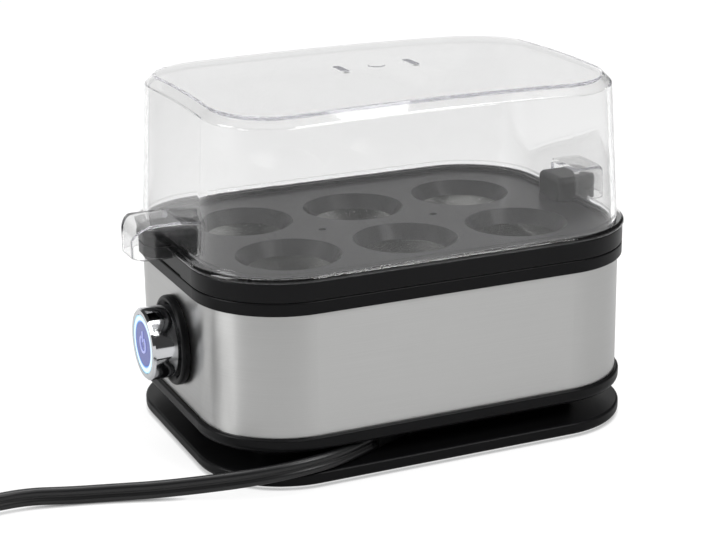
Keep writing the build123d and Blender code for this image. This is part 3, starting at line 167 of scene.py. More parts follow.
@dataclass(frozen=True)
class Finish:
    """A moulded, cast or plated surface: two close colours in soft patches, and a fine grain in its gloss.

    The patches and the grain are noise of a real size in millimetres, laid evenly or drawn out along
    the way that the surface was worked. The grain moves the roughness up and down by its spread.
    """

    name: str
    colour: str
    shade: str
    metallic: float = 0.0
    roughness: float = 0.45
    spread: float = 0.08
    patch_mm: float = 14.0
    grain_mm: float = 0.8
    bump: float = 0.06
    lay: Lay = Lay.EVEN
    specular: float = 0.5
    coat: float = 0.0
    patch_detail: float = 3.0
    grain_detail: float = 2.0

    def build(self) -> bpy.types.Material:
        """Make the material, or find it if it is there already.

        Returns:
            The one material that all pieces with this finish share.
        """
        known = bpy.data.materials.get(self.name)
        if known:
            return known
        material = bpy.data.materials.new(self.name)
        material.use_nodes = True
        tree = material.node_tree
        shader = tree.nodes["Principled BSDF"]
        shader.inputs["Metallic"].default_value = self.metallic
        shader.inputs["Specular IOR Level"].default_value = self.specular
        shader.inputs["Coat Weight"].default_value = self.coat
        place = put(tree, "TexCoord").outputs["Object"]
        laid = put(tree, "Mapping", {"Vector": place, "Scale": self.lay.value}).outputs["Vector"]
        noises = ((self.patch_mm, self.patch_detail), (self.grain_mm, self.grain_detail))
        patches, grain = (
            put(tree, "TexNoise", {"Vector": laid, "Scale": 1 / (mm * MM), "Detail": detail}).outputs["Fac"]
            for mm, detail in noises
        )
        share = self.colour_share(patches, grain)
        colours = {MIX_SHARE: share, MIX_FROM: linear(self.colour), MIX_TO: linear(self.shade)}
        mix = put(tree, "Mix", colours, data_type="RGBA")
        tree.links.new(mix.outputs[MIX_RESULT], shader.inputs["Base Color"])
        low, high = self.roughness - self.spread, self.roughness + self.spread
        gloss = put(tree, "MapRange", {"Value": grain, "To Min": low, "To Max": high})
        tree.links.new(gloss.outputs["Result"], shader.inputs["Roughness"])
        relief = put(tree, "Bump", {"Height": grain, "Strength": self.bump, "Distance": RELIEF})
        tree.links.new(relief.outputs["Normal"], shader.inputs["Normal"])
        self.extra_nodes(tree, shader)
        return material

    def colour_share(
        self, patches: bpy.types.NodeSocket, grain: bpy.types.NodeSocket
    ) -> bpy.types.NodeSocket:
        """Choose the noise that mixes the two colours: here the coarse patches, not the fine grain."""
        return patches

    def extra_nodes(self, tree: bpy.types.NodeTree, shader: bpy.types.Node) -> None:
        """Set what only some finishes have."""


@dataclass(frozen=True)
class BrushedSteel(Finish):
    """Stainless sheet brushed along its length: fine level scratches that draw highlights out upwards."""

    anisotropic: float = 0.8
    quarter_turn: float = 0.25

    def colour_share(
        self, patches: bpy.types.NodeSocket, grain: bpy.types.NodeSocket
    ) -> bpy.types.NodeSocket:
        """Choose the noise that mixes the two colours: here the scratches themselves."""
        return grain

    def extra_nodes(self, tree: bpy.types.NodeTree, shader: bpy.types.Node) -> None:
        """Stretch the highlights across the scratches, a quarter turn from the way they run.

        Args:
            tree: the material's node tree.
            shader: its main shader.
        """
        shader.inputs["Anisotropic"].default_value = self.anisotropic
        shader.inputs["Anisotropic Rotation"].default_value = self.quarter_turn
        around = put(tree, "Tangent", direction_type="RADIAL", axis="Z")
        tree.links.new(around.outputs["Tangent"], shader.inputs["Tangent"])


@dataclass(frozen=True)
class DrawnSteel(Finish):
    """Sheet drawn into a dish: satin, with faint rings about the upright axis where the tool ran."""

    ring_mm: float = 1.2
    ring_bump: float = 0.03
    ring_waver: float = 0.6
    ring_detail: float = 1.0

    def extra_nodes(self, tree: bpy.types.NodeTree, shader: bpy.types.Node) -> None:
        """Raise the rings a little over the satin grain.

        Args:
            tree: the material's node tree.
            shader: its main shader.
        """
        place = put(tree, "TexCoord").outputs["Object"]
        wave = {"Vector": place, "Scale": math.tau / (WAVE_UNIT * self.ring_mm * MM)}
        wave |= {"Distortion": self.ring_waver, "Detail": self.ring_detail}
        rings = put(tree, "TexWave", wave, wave_type="RINGS", rings_direction="Z")
        grain = shader.inputs["Normal"].links[0].from_socket
        height = {"Height": rings.outputs["Fac"], "Strength": self.ring_bump, "Distance": RELIEF}
        relief = put(tree, "Bump", {"Normal": grain, **height})
        tree.links.new(relief.outputs["Normal"], shader.inputs["Normal"])


@dataclass(frozen=True)
class ClearAcrylic(Finish):
    """Clear moulded plastic, through which the lamps shine as through air.

    Light that is thrown to and fro inside a wall comes out at its far edge. A ray that has been mirrored
    as often as that ends on a painted pale glow, which the wall gives off by itself in place of that light.
    """

    ior: float = 1.18
    skin_ior: float = 1.49
    painted_edge_glow: str = "#949498"
    mirrored: float = 2.5

    def extra_nodes(self, tree: bpy.types.NodeTree, shader: bpy.types.Node) -> None:
        """Let light through, with the gloss of the moulded skin on top.

        Args:
            tree: the material's node tree.
            shader: its main shader.
        """
        shader.inputs["Transmission Weight"].default_value = 1.0
        shader.inputs["IOR"].default_value = self.ior
        shader.inputs["Coat IOR"].default_value = self.skin_ior
        path = put(tree, "LightPath").outputs
        many = put(tree, "Math", {0: path["Glossy Depth"], 1: self.mirrored}, operation="GREATER_THAN")
        # Painted glow: the lid gives off this pale light by itself on rays that have been mirrored inside a
        # wall
        pale = put(tree, "Emission", {"Color": linear(self.painted_edge_glow)})
        body = put(tree, "MixShader", {0: many.outputs[0], 1: shader.outputs[0], 2: pale.outputs[0]})
        clear = put(tree, "BsdfTransparent", {"Color": linear(self.shade)})
        both = put(tree, "MixShader", {0: path["Is Shadow Ray"], 1: body.outputs[0], 2: clear.outputs[0]})
        tree.links.new(both.outputs[0], tree.nodes["Material Output"].inputs["Surface"])


@dataclass(frozen=True)
class LitPlastic(Finish):
    """Translucent plastic with lamps behind it."""

    glow: str = "#FFFFFF"
    strength: float = 1.0

    def extra_nodes(self, tree: bpy.types.NodeTree, shader: bpy.types.Node) -> None:
        """Let it shine."""
        shader.inputs["Emission Color"].default_value = linear(self.glow)
        shader.inputs["Emission Strength"].default_value = self.strength


@dataclass(frozen=True)
class LightGuide(LitPlastic):
    """Lit ring: white along its middle, and tinted at both edges, where less light comes through.

    The tint follows the distance from the button's axis.
    """

    centre: tuple[float, float, float] = (0.0, 0.0, 0.0)
    inner: float = 0.0
    outer: float = 0.0
    inner_tint: str = "#4C96E8"
    outer_tint: str = "#A6E4FF"
    white_band: tuple[float, float] = (0.3, 0.72)

    def extra_nodes(self, tree: bpy.types.NodeTree, shader: bpy.types.Node) -> None:
        """Shade the glow from one edge of the ring to the other.

        Args:
            tree: the material's node tree.
            shader: its main shader.
        """
        place = put(tree, "TexCoord").outputs["Object"]
        middle = tuple(-c * MM for c in self.centre)
        flat = put(tree, "Mapping", {"Vector": place, "Location": middle})
        plane = {0: flat.outputs["Vector"], 1: (0.0, 1.0, 1.0)}
        across = put(tree, "VectorMath", plane, operation="MULTIPLY")
        radius = put(tree, "VectorMath", {0: across.outputs["Vector"]}, operation="LENGTH")
        limits = {"From Min": self.inner * MM, "From Max": self.outer * MM}
        share = put(tree, "MapRange", {"Value": radius.outputs["Value"], **limits})
        ramp = put(tree, "ValToRGB", {"Fac": share.outputs["Result"]})
        stops = ramp.color_ramp.elements
        stops[0].color, stops[1].color = linear(self.inner_tint), linear(self.outer_tint)
        for at in self.white_band:
            stops.new(at).color = linear(self.glow)
        tree.links.new(ramp.outputs["Color"], shader.inputs["Emission Color"])
        shader.inputs["Emission Strength"].default_value = self.strength


# ABS moulded in a finely etched tool: black, with a soft grey sheen that follows the light
SATIN_ABS = Finish(
    "satin_black_abs",
    "#0F0F10",
    "#131314",
    roughness=0.33,
    spread=0.05,
    grain_mm=0.6,
    bump=0.03,
    specular=0.1,
)
# Heat-proof polypropylene: a shade lighter than the housing, with a waxy, even sheen
TRAY_PP = Finish(
    "satin_black_polypropylene",
    "#101011",
    "#141415",
    roughness=0.3,
    spread=0.03,
    grain_mm=0.7,
    bump=0.012,
    specular=0.12,
)
# Stainless sheet brushed level: a grey mirror drawn out upwards, with scratches coarser than real ones so
# that they show
STEEL = BrushedSteel(
    "brushed_stainless_steel",
    "#C6C6C5",
    "#BEBEBD",
    metallic=1.0,
    roughness=0.31,
    spread=0.04,
    grain_mm=0.35,
    bump=0.05,
    lay=Lay.LEVEL,
)
# Deep-drawn stainless sheet: a soft satin glow with faint rings
DISH_STEEL = DrawnSteel(
    "deep_drawn_stainless_steel",
    "#B9B9B7",
    "#ADADAB",
    metallic=1.0,
    roughness=0.26,
    spread=0.04,
    grain_mm=0.5,
    bump=0.02,
)
# Acrylic moulded in a polished tool: clear and colourless, with pale edges painted as a glow where rays are
# caught in the wall; its thin walls shift what is behind them less than solid acrylic of IOR 1.49 would,
# while its skin shines as acrylic does
CLEAR = ClearAcrylic(
    "clear_moulded_acrylic", "#F5F5F5", "#F3F3F3", roughness=0.012, spread=0.004, bump=0.0, coat=1.0
)
# Chrome plated on plastic: a hard mirror with a trace of polishing marks
CHROME = Finish(
    "polished_chrome_plating",
    "#DDDEE0",
    "#D2D3D6",
    metallic=1.0,
    roughness=0.07,
    spread=0.03,
    grain_mm=1.5,
    bump=0.01,
)
# Smoked blue acrylic lit from behind: a dark, even blue
DISC_LIGHT = LitPlastic(
    "blue_tinted_window", "#343B64", "#2F365C", roughness=0.18, glow="#5F68B4", strength=0.5
)
# Frosted acrylic that passes more of the light: a pale sign on the dark window
ICON_LIGHT = LitPlastic(
    "pale_lit_symbol", "#585A78", "#525470", roughness=0.3, glow="#BFC6FF", strength=0.65
)
# Soft vinyl drawn over the cores: black with a low sheen and a slight drag texture
VINYL = Finish(
    "soft_vinyl_sheath", "#111112", "#151516", roughness=0.36, spread=0.05, grain_mm=0.7, bump=0.05
)
# The same vinyl moulded against a rough tool: dull, and a touch blacker than the cord as painted shade, so
# that the gland is lost in the dark recess where the cord leaves
DULL_SHADED_VINYL = Finish("dull_vinyl_with_painted_shade", "#0C0C0D", "#101011", roughness=0.62, bump=0.08, specular=0.15)
# Moulded rubber: dark grey and dull, with a dusty grain
RUBBER = Finish("moulded_rubber", "#1B1B1B", "#222222", roughness=0.75, grain_mm=0.5, bump=0.12)
# Zinc-plated steel: bright grey, clouded by the plating bath
ZINC = Finish(
    "zinc_plated_steel",
    "#B5B6B8",
    "#A2A39F",
    metallic=1.0,
    roughness=0.32,
    spread=0.1,
    patch_mm=2.0,
    grain_mm=0.5,
)
# Moulded food silicone: pale grey and dull
SILICONE = Finish("food_silicone", "#B9B8B4", "#AFAEA9", roughness=0.6, grain_mm=0.5)
# Pressure-cast aluminium with its skin left on: a cloudy, coarse grey
CAST_ALUMINIUM = Finish(
    "cast_aluminium",
    "#B2B2B0",
    "#9C9C9A",
    metallic=1.0,
    roughness=0.5,
    spread=0.12,
    grain_mm=1.2,
    bump=0.15,
)
# Steel sheath browned by heat: dark with uneven patches
HEATER_STEEL = Finish(
    "heat_oxidised_steel", "#4A4038", "#2F2B29", metallic=1.0, roughness=0.5, spread=0.1, patch_mm=9.0
)
# Pressed and fired steatite, unglazed: chalky cream
CERAMIC = Finish("unglazed_steatite", "#E2DDD0", "#D6D0C2", roughness=0.7, grain_mm=0.6, bump=0.1)
# Moulded phenolic: brown-black with a faint gloss
PHENOLIC = Finish("moulded_phenolic", "#1F1714", "#261C18", roughness=0.42)
# Cold-drawn spring wire: grey, with the die's fine marks
SPRING_WIRE = Finish(
    "drawn_spring_steel", "#9E9FA1", "#8B8C8E", metallic=1.0, roughness=0.3, spread=0.06, grain_mm=0.4
)
# Glass-fibre board under green lacquer: glossy, with the weave just showing
BOARD = Finish("lacquered_circuit_board", "#1B5A37", "#174E30", roughness=0.3, grain_mm=0.5)
# Cast epoxy: pale yellowish and glossy
LAMP_EPOXY = Finish("clear_lamp_epoxy", "#EDEEDC", "#E4E5D0", roughness=0.15, patch_mm=2.0)
# Moulded nylon, grey and white: even colour with a soft sheen
NYLON_GREY = Finish("moulded_grey_nylon", "#2F3033", "#37383B", roughness=0.5)
NYLON_WHITE = Finish("moulded_white_nylon", "#DEDDD6", "#D3D2CA", roughness=0.5)
# Glass yarn woven over hot wires: off-white, dull and ribbed
GLASS_SLEEVE = Finish("woven_glass_sleeving", "#D5CFC2", "#C1BAAA", roughness=0.8, grain_mm=0.6, bump=0.3)
# Nickel-plated brass: warm, bright metal with rubbed marks
BRASS = Finish(
    "nickel_plated_brass", "#C9C2AC", "#B9B19A", metallic=1.0, roughness=0.22, spread=0.06, grain_mm=0.8
)


@dataclass(frozen=True)
class Softbox:
    """A rectangular lamp: its middle, its width and height in metres, and its light in watts."""

    name: str
    place: tuple[float, float, float]
    size: tuple[float, float]
    power: float


@dataclass(frozen=True)
class SoftEdge:
    """Where a level starts to come in, and where it is full."""

    start: float
    full: float

    def links(self, value: bpy.types.NodeSocket) -> dict[str, object]:
        """Give what a map needs to turn the value into a share from nought at the start to one."""
        return {"Value": value, "From Min": self.start, "From Max": self.full}


@dataclass
class Studio:
    """White studio: camera at the photo's angle, pale floor, soft lamps and a white surround.

    Lengths are in metres and angles in degrees. Gloss sees a white screen about the backdrop's angle, a
    white ceiling and a dark room between them. Glass sees the pane's level all round, and matt surfaces
    see the fill's.
    """

    azimuth: float = -23.72
    elevation: float = 17.70
    distance: float = 751.3 * MM
    roll: float = -0.8708
    focal_pixels: float = 1863.35
    sensor_width: float = 36.0
    near_clip: float = 0.01
    target: tuple[float, float, float] = (-9.18 * MM, 0.0, 59.76 * MM)
    floor_size: float = 6.0
    floor_points: int = 9
    floor_matte: str = "#C4C4C4"
    floor_dim: str = "#7A7A7A"
    floor_glow: float = 0.84
    contact: float = 1.8 * MM
    contact_samples: int = 8
    backdrop: float = 78.0
    backdrop_edge: SoftEdge = SoftEdge(0.84, 0.95)
    screen_top: SoftEdge = SoftEdge(0.9, 0.45)
    floor_fade: SoftEdge = SoftEdge(0.0, 0.8)
    screen: float = 0.85
    ceiling_edge: SoftEdge = SoftEdge(0.72, 0.86)
    ceiling: float = 0.9
    room: float = 0.06
    pane: float = 0.72
    fill: float = 0.62
    aim: tuple[float, float, float] = (0.0, 0.0, 0.07)
    lamps: tuple[Softbox, ...] = (
        Softbox("left_strip", (-1.35, 0.14, 0.55), (0.6, 1.1), 13.0),
        Softbox("key_softbox", (0.5, -0.9, 0.95), (0.45, 0.45), 7.4),
        Softbox("top_softbox", (0.05, 0.1, 1.15), (1.1, 0.44), 7.2),
    )

    def camera(self) -> None:
        """Place the camera so that its picture has the photo's frame.

        The way back to it from the target is turned from -Y by the azimuth and raised by the elevation.
        Right is level and square to that, up is square to both, and the roll turns these two.
        """
        az, el, roll = (math.radians(v) for v in (self.azimuth, self.elevation, self.roll))
        back = Vector((math.sin(az) * math.cos(el), -math.cos(az) * math.cos(el), math.sin(el)))
        right = (-back).cross(Vector((0, 0, 1))).normalized()
        up = right.cross(-back)
        turned_right = right * math.cos(roll) + up * math.sin(roll)
        turned_up = up * math.cos(roll) - right * math.sin(roll)
        data = bpy.data.cameras.new("camera")
        data.sensor_fit = "HORIZONTAL"
        data.sensor_width = self.sensor_width
        data.lens = self.focal_pixels * self.sensor_width / PHOTO_WIDTH
        data.clip_start = self.near_clip
        camera = bpy.data.objects.new("camera", data)
        axes = Matrix((turned_right, turned_up, back)).transposed().to_4x4()
        camera.matrix_world = Matrix.Translation(Vector(self.target) + back * self.distance) @ axes
        bpy.context.scene.collection.objects.link(camera)
        bpy.context.scene.camera = camera

    def floor(self) -> None:
        """Lay a pale floor: white to the camera, shaded by the object, and dark where it is covered."""
        span = np.linspace(-self.floor_size / 2, self.floor_size / 2, self.floor_points)
        x, y = np.meshgrid(span, span, indexing="ij")
        points = np.stack([x, y, np.zeros_like(x)], axis=-1)
        faces = grid_faces(self.floor_points, self.floor_points, wrap=False)[:, ::-1]
        floor = mesh_object("floor", points, faces, smooth=False)
        material = bpy.data.materials.new("pale_floor")
        material.use_nodes = True
        tree = material.node_tree
        tree.nodes.clear()
        matte = put(tree, "BsdfDiffuse", {"Color": linear(self.floor_matte)})
        sky = put(tree, "AmbientOcclusion", {"Distance": self.contact}, samples=self.contact_samples)
        glow = put(tree, "Math", {0: sky.outputs["AO"], 1: self.floor_glow}, operation="MULTIPLY")
        white = put(tree, "Emission", {"Color": linear("#FFFFFF"), "Strength": glow.outputs[0]})
        dim = put(tree, "BsdfDiffuse", {"Color": linear(self.floor_dim)})
        bright = put(tree, "AddShader", {0: white.outputs[0], 1: dim.outputs[0]})
        path = put(tree, "LightPath").outputs
        place = put(tree, "TexCoord").outputs["Object"]
        away = put(tree, "VectorMath", {0: place}, operation="LENGTH").outputs["Value"]
        far = put(tree, "MapRange", self.floor_fade.links(away), interpolation_type="SMOOTHSTEP")
        seen = self.behind(tree, place)
        for share in (far.outputs["Result"], path["Is Glossy Ray"]):
            seen = put(tree, "Math", {0: seen, 1: share}, operation="MULTIPLY").outputs[0]
        for ray in ("Is Camera Ray", "Is Transmission Ray"):
            seen = put(tree, "Math", {0: path[ray], 1: seen}, operation="MAXIMUM").outputs[0]
        both = put(tree, "MixShader", {0: seen, 1: matte.outputs[0], 2: bright.outputs[0]})
        put(tree, "OutputMaterial", {"Surface": both.outputs[0]})
        floor.data.materials.append(material)

    def behind(self, tree: bpy.types.NodeTree, direction: bpy.types.NodeSocket) -> bpy.types.NodeSocket:
        """Tell how far a direction points at the white backdrop, which stands in a sector behind the object.

        The share goes by the cosine of the level angle between the direction and the sector's middle.

        Args:
            tree: the node tree to add to.
            direction: where a ray ends up, as a direction or a place on the floor.

        Returns:
            One inside the sector, and nought in the darker room beside and in front of it.
        """
        flat = put(tree, "VectorMath", {0: direction, 1: (1.0, 1.0, 0.0)}, operation="MULTIPLY")
        way = put(tree, "VectorMath", {0: flat.outputs["Vector"]}, operation="NORMALIZE").outputs["Vector"]
        angle = math.radians(self.backdrop)
        middle = (math.cos(angle), math.sin(angle), 0.0)
        turned = put(tree, "VectorMath", {0: way, 1: middle}, operation="DOT_PRODUCT").outputs["Value"]
        inside = put(tree, "MapRange", self.backdrop_edge.links(turned), interpolation_type="SMOOTHSTEP")
        return inside.outputs["Result"]

    def surround(self) -> None:
        """Make the surround white to the camera, and set what glass, gloss and matt surfaces see of it.

        The level starts as the dark room's, and each share in turn takes it over to the next level.
        """
        world = bpy.data.worlds.new("white_studio")
        world.use_nodes = True
        tree = world.node_tree
        tree.nodes.clear()
        path = put(tree, "LightPath").outputs
        way = put(tree, "TexCoord").outputs["Generated"]
        height = put(tree, "SeparateXYZ", {0: way}).outputs["Z"]
        low = put(tree, "MapRange", self.screen_top.links(height), interpolation_type="SMOOTHSTEP")
        both = {0: self.behind(tree, way), 1: low.outputs["Result"]}
        backdrop = put(tree, "Math", both, operation="MULTIPLY")
        above = put(tree, "MapRange", self.ceiling_edge.links(height), interpolation_type="SMOOTHSTEP")
        level = self.room
        for share, seen in (
            (backdrop.outputs[0], self.screen),
            (above.outputs["Result"], self.ceiling),
            (path["Is Diffuse Ray"], self.fill),
            (path["Is Transmission Ray"], self.pane),
            (path["Is Camera Ray"], 1.0),
        ):
            step = put(tree, "MapRange", {"Value": share, "To Min": level, "To Max": seen})
            level = step.outputs["Result"]
        light = put(tree, "Background", {"Color": linear("#FFFFFF"), "Strength": level})
        put(tree, "OutputWorld", {"Surface": light.outputs[0]})
        bpy.context.scene.world = world

    def lamp(self, box: Softbox) -> None:
        """Hang one softbox that faces the object.

        Args:
            box: the lamp to hang.
        """
        data = bpy.data.lights.new(box.name, "AREA")
        data.shape = "RECTANGLE"
        data.size, data.size_y = box.size
        data.energy = box.power
        lamp = bpy.data.objects.new(box.name, data)
        lamp.location = box.place
        lamp.rotation_euler = (Vector(self.aim) - Vector(box.place)).to_track_quat("-Z", "Y").to_euler()
        bpy.context.scene.collection.objects.link(lamp)

    def build(self) -> None:
        """Set up everything but the object."""
        bpy.context.scene.view_settings.view_transform = "Standard"
        self.camera()
        self.floor()
        self.surround()
        for box in self.lamps:
            self.lamp(box)


@dataclass
class Assembly:
    """A sub-assembly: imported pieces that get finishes, and pieces that are made here in a fuller form."""

    body: Body = Body.HOUSING

    def finishes(self) -> dict[str, Finish]:
        """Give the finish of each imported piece."""
        return {}

    def build(self, nodes: dict[str, bpy.types.Object]) -> None:
        """Make the pieces that stand for plainer packed ones."""

    def dress(self, nodes: dict[str, bpy.types.Object]) -> None:
        """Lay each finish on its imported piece.

        Args:
            nodes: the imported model's objects by name.
        """
        for name, finish in self.finishes().items():
            nodes[name].data.materials.clear()
            nodes[name].data.materials.append(finish.build())
            log.info("%s: %s", name, finish.name)


@dataclass
class Housing(Assembly):
    """Base plate, lower housing and collar of black plastic round a steel sleeve, on rubber feet."""

    screw_pitch: tuple[float, float] = (96.0 * MM, 64.0 * MM)
    head_radius: float = 3.0 * MM
    head_level: float = 1.3 * MM
    seat_level: float = 3.5 * MM
    crown: float = 0.45 * MM
    shank_radius: float = 1.5 * MM
    tip_level: float = 12.5 * MM
    tip_radius: float = 0.5 * MM
    tip_cone: float = 1.5 * MM
    slot_half: float = 0.45 * MM
    slot_soft: float = 0.15 * MM
    slot_reach: float = 1.75 * MM
    reach_soft: float = 0.5 * MM
    slot_depth: float = 1.3 * MM
    dome_inset: float = 0.3 * MM
    rim_inset: float = 0.08 * MM
    rim_round: float = 0.25 * MM
    head_rows: int = 40
    around: int = 96

    def finishes(self) -> dict[str, Finish]:
        """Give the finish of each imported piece.

        Returns:
            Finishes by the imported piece's name.
        """
        return {
            "base_plate": SATIN_ABS,
            "rubber_feet": RUBBER,
            "lower_housing": SATIN_ABS,
            "housing_screws": ZINC,
            "body_collar": SATIN_ABS,
            "steel_sleeve": STEEL,
        }

    def screw(self) -> np.ndarray:
        """Work out one base screw about the origin, as rings from the middle of its head to its tip.

        Over the head the level rises with the square of the radius, as on a shallow dome that faces down,
        and a cross is sunk in it: its depth is full where the smaller of x and y is inside the slot's half
        width and the larger is inside its reach, and fades to nought over a soft edge. After the head come
        its rim, its side, the seat, the shank and the closed tip.

        Returns:
            An array of rings times points times x, y, z, in metres.
        """
        radius = np.linspace(0, self.head_radius - self.dome_inset, self.head_rows)
        level = self.head_level + self.crown * (radius / self.head_radius) ** 2
        rim = self.head_level + self.crown
        outline = [(self.head_radius - self.rim_inset, rim), (self.head_radius, rim + self.rim_round)]
        outline += [(self.head_radius, self.seat_level), (self.shank_radius, self.seat_level)]
        outline += [(self.shank_radius, self.tip_level - self.tip_cone)]
        outline += [(self.tip_radius, self.tip_level), (0.0, self.tip_level)]
        radius = np.concatenate([radius, [r for r, _ in outline]])
        level = np.concatenate([level, [z for _, z in outline]])
        turn = np.linspace(0, math.tau, self.around, endpoint=False)
        x, y = radius[:, None] * np.cos(turn), radius[:, None] * np.sin(turn)
        near, far = np.minimum(np.abs(x), np.abs(y)), np.maximum(np.abs(x), np.abs(y))
        narrow = np.clip((self.slot_half - near) / self.slot_soft + 0.5, 0, 1)
        short = np.clip((self.slot_reach - far) / self.reach_soft + 0.5, 0, 1)
        on_head = np.arange(len(radius))[:, None] < self.head_rows
        sunk = np.where(on_head, narrow * short * self.slot_depth, 0)
        return np.stack([x, y, level[:, None] + sunk], axis=-1)

    def build(self, nodes: dict[str, bpy.types.Object]) -> None:
        """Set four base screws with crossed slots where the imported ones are.

        Args:
            nodes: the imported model's objects by name.
        """
        one = self.screw()
        faces = grid_faces(*one.shape[:2])[:, ::-1]
        half_x, half_y = (pitch / 2 for pitch in self.screw_pitch)
        corners = [(side * half_x, end * half_y, 0.0) for side in (-1, 1) for end in (-1, 1)]
        count = one.shape[0] * one.shape[1]
        points = np.stack([one.reshape(-1, 3) + np.array(corner) for corner in corners])
        faces = np.concatenate([faces + count * i for i in range(len(corners))])
        screws = mesh_object("base_screw_set", points, faces)
        screws.data.materials.append(ZINC.build())
        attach(screws, self.body.value)
        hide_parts("base_screws")
        log.info("base_screw_set: %s", ZINC.name)


@dataclass
class WaterHeater(Assembly):
    """Water dish on its seal, with the cast spreader, the heater and the two guards below it."""

    def finishes(self) -> dict[str, Finish]:
        """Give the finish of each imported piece.

        Returns:
            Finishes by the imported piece's name.
        """
        return {
            "dish_seal": SILICONE,
            "water_dish": DISH_STEEL,
            "heat_spreader": CAST_ALUMINIUM,
            "heating_element": HEATER_STEEL,
            "element_terminals": CERAMIC,
            "thermostat": PHENOLIC,
            "thermal_fuse": CERAMIC,
            "fuse_clip": ZINC,
            "spreader_screws": ZINC,
        }


@dataclass
class PushButton(Assembly):
    """Chrome push button with a lit ring, a blue window and a symbol, and the switch behind it.

    The axis, as y and z, and the ring's radii are in millimetres, and the spring's sizes are in metres.
    """

    axis: tuple[float, float] = (-3.07, 43.8)
    ring_inner: float = 8.9
    ring_outer: float = 11.4
    spring_seat: float = -80.0 * MM
    spring_length: float = 16.1 * MM
    travel: float = 3.0 * MM

    def ring_finish(self) -> LightGuide:
        """Frosted acrylic over white lamps: a bright ring that turns blue at its edges.

        Returns:
            The ring's finish, shaded about the button's axis.
        """
        return LightGuide(
            "frosted_light_guide",
            "#20303A",
            "#1C2A34",
            roughness=0.3,
            glow="#E9F8FF",
            strength=0.95,
            centre=(0.0, *self.axis),
            inner=self.ring_inner,
            outer=self.ring_outer,
        )

    def finishes(self) -> dict[str, Finish]:
        """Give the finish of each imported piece.

        Returns:
            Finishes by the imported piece's name.
        """
        return {
            "button_bezel": SATIN_ABS,
            "bezel_nut": NYLON_GREY,
            "button_cap": CHROME,
            "light_ring": self.ring_finish(),
            "button_disc": DISC_LIGHT,
            "power_symbol": ICON_LIGHT,
            "button_carrier": NYLON_GREY,
            "button_spring": SPRING_WIRE,
            "lamp_board": BOARD,
            "lamps": LAMP_EPOXY,
            "switch_body": NYLON_GREY,
            "switch_plunger": NYLON_WHITE,
            "switch_holder": NYLON_GREY,
            "holder_screws": ZINC,
        }

    def dress(self, nodes: dict[str, bpy.types.Object]) -> None:
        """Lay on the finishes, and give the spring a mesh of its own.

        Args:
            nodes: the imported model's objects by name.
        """
        super().dress(nodes)
        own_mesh(nodes["button_spring"])


@dataclass
class Wiring(Assembly):
    """Terminal block, the cord's two cores and the five inner leads."""

    leads: tuple[str, ...] = ("live_lead", "switch_lead", "fuse_lead", "element_lead", "neutral_lead")

    def finishes(self) -> dict[str, Finish]:
        """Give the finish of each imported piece."""
        sleeved = {name: GLASS_SLEEVE for name in ("mains_cores", *self.leads)}
        return {"terminal_block": NYLON_WHITE, **sleeved}


@dataclass
class TrayAndLid(Assembly):
    """Black tray with six seats, and the clear lid that stands on it."""

    def finishes(self) -> dict[str, Finish]:
        """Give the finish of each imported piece."""
        return {"egg_tray": TRAY_PP, "lid": CLEAR}


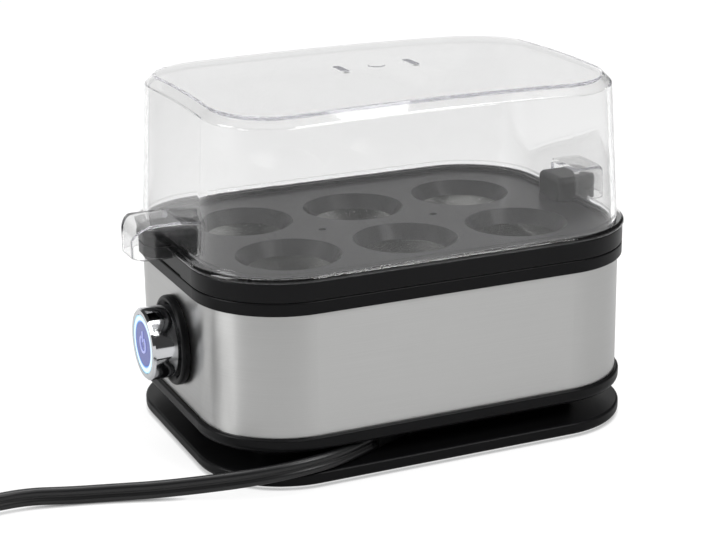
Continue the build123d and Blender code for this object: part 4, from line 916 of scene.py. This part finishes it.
@dataclass
class MainsCord(Assembly):
    """Flat two-core lead: two joined round strands on edge, laid along one smooth line to the plug.

    The section is in metres. The route, the coil and the tail are in millimetres until they are joined.
    """

    tall: float = 6.8 * MM
    strand: float = 1.75 * MM
    web: float = 0.4 * MM
    coil_x: float = -210.0
    coil_y: float = 3.2
    coil_radius: float = 39.5
    coil_pitch: float = 4.4
    coil_steps: tuple[float, ...] = (0, 0, 0, 0.5, 1, 1, 1, 1.5, 2, 1.5, 1, 0.5, 0)
    coil_climb: tuple[float, float] = (7.1, 7.9)
    low: float = 4.7
    high: float = 12.1
    plug_level: float = 6.95
    tail_places: tuple[float, ...] = (11.0, 24.0, 36.0, 45.0, 57.0)
    tail_raised: int = 3
    points_per_turn: int = 16
    spline_order: int = 3
    spline_steps: int = 8
    ring_points: int = 44
    route: list[tuple[float, float, float]] = field(
        default_factory=lambda: [
            (-27.83, -55.46, 9.95),
            (-42.79, -63.55, 9.95),
            (-62.9, -67.0, 9.8),
            (-81.6, -63.6, 8.0),
            (-98.3, -56.0, 5.6),
            (-113.5, -49.4, 4.0),
            (-128.5, -43.6, 3.5),
            (-143.5, -39.2, 3.5),
            (-158.0, -36.3, 4.7),
            (-172.0, -36.3, 4.7),
        ]
    )

    def coil(self) -> np.ndarray:
        """Give the coil's control points.

        The radius shrinks by steps of half a pitch from turn to turn on the floor, the cord climbs one
        layer in the last quarter of the second turn, and the third turn lies on top and widens again.
        Points stand out by the share that the smooth line cuts inside them: where it comes nearest to a
        point, it takes three quarters of that point and an eighth of each neighbour.

        Returns:
            One row of x, y, z in millimetres for each point.
        """
        quarters = len(self.coil_steps) - 1
        quarter = np.linspace(0, quarters, quarters * self.points_per_turn // 4 + 1)
        drawn_in = np.interp(quarter, np.arange(quarters + 1), self.coil_steps)
        radius = self.coil_radius - self.coil_pitch * drawn_in
        radius = radius / (0.75 + 0.25 * math.cos(math.tau / self.points_per_turn))
        angle = -math.pi / 2 * (1 + quarter)
        level = np.interp(quarter, self.coil_climb, (self.low, self.high))
        x = self.coil_x + radius * np.cos(angle)
        y = self.coil_y + radius * np.sin(angle)
        return np.stack([x, y, level], axis=-1)

    def tail(self) -> np.ndarray:
        """Give the points from the coil to the plug: straight on from the coil's front, then down a layer.

        Returns:
            One row of x, y, z in millimetres for each point.
        """
        front = self.coil_y - self.coil_radius
        along = self.coil_x - np.array(self.tail_places)
        raised = np.arange(len(along)) < self.tail_raised
        level = np.where(raised, self.high, self.plug_level)
        return np.stack([along, np.full_like(along, front), level], axis=-1)

    def line(self) -> np.ndarray:
        """Read the smooth line back from a spline over all the points.

        Returns:
            Points along the line, in metres.
        """
        points = np.concatenate([np.array(self.route), self.coil(), self.tail()]) * MM
        curve = bpy.data.curves.new("cord_line", "CURVE")
        curve.dimensions = "3D"
        spline = curve.splines.new("NURBS")
        spline.points.add(len(points) - 1)
        spline.points.foreach_set("co", np.column_stack([points, np.ones(len(points))]).ravel())
        spline.order_u = self.spline_order
        spline.use_endpoint_u = True
        spline.resolution_u = self.spline_steps
        holder = bpy.data.objects.new("cord_line", curve)
        bpy.context.scene.collection.objects.link(holder)
        bpy.context.view_layer.update()
        read = bpy.data.meshes.new_from_object(holder)
        flat = np.zeros(len(read.vertices) * 3)
        read.vertices.foreach_get("co", flat)
        bpy.data.objects.remove(holder)
        bpy.data.meshes.remove(read)
        return flat.reshape(-1, 3)

    def section(self) -> tuple[np.ndarray, np.ndarray]:
        """Draw the lead's outline: two circles one above the other, joined by a thin web.

        The height runs as a cosine over one turn, and the half width at each height is the nearer
        circle's, or the web's where that is more.

        Returns:
            The outline's places across and up, in metres.
        """
        turn = np.linspace(0, math.tau, self.ring_points, endpoint=False) + math.pi / self.ring_points
        up = self.tall / 2 * np.cos(turn)
        middle = self.tall / 2 - self.strand
        half = np.sqrt(np.clip(self.strand**2 - (np.abs(up) - middle) ** 2, 0, None))
        half = np.where(np.abs(up) < middle, np.maximum(half, self.web), half)
        return np.sign(np.sin(turn)) * half, up

    def finishes(self) -> dict[str, Finish]:
        """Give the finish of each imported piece."""
        return {"cord_gland": DULL_SHADED_VINYL, "cord_tie": SATIN_ABS, "plug_body": VINYL, "plug_pins": BRASS}

    def build(self, nodes: dict[str, bpy.types.Object]) -> None:
        """At each point of the line, across is level and square to the line's way, and upright is square to
        both. A ring is that point plus across times the outline's places across, plus upright times its
        places up. The first and the last ring shrink to the line's ends.

        Args:
            nodes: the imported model's objects by name.
        """
        line = self.line()
        way = np.gradient(line, axis=0)
        way /= np.linalg.norm(way, axis=1, keepdims=True)
        across = np.cross(way, [0.0, 0.0, 1.0])
        across /= np.linalg.norm(across, axis=1, keepdims=True)
        upright = np.cross(across, way)
        side, up = self.section()
        rings = line[:, None] + across[:, None] * side[:, None] + upright[:, None] * up[:, None]
        ends = np.repeat(line[[0, -1], None], len(side), axis=1)
        surface = np.concatenate([ends[:1], rings, ends[1:]])
        cord = mesh_object("cord_sheath", surface, grid_faces(len(surface), len(side))[:, ::-1])
        cord.data.materials.append(VINYL.build())
        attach(cord, self.body.value)
        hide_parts("power_cord", "cord_coil")


def main() -> None:
    """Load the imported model, then make and dress each piece in turn."""
    logging.basicConfig(level=logging.INFO, format="%(message)s")
    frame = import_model()
    Studio().build()
    for assembly in (Housing(), WaterHeater(), PushButton(), Wiring(), TrayAndLid(), MainsCord()):
        log.info(assembly.__class__.__name__)
        assembly.build(frame["nodes"])
        assembly.dress(frame["nodes"])


if __name__ == "__main__":
    main()
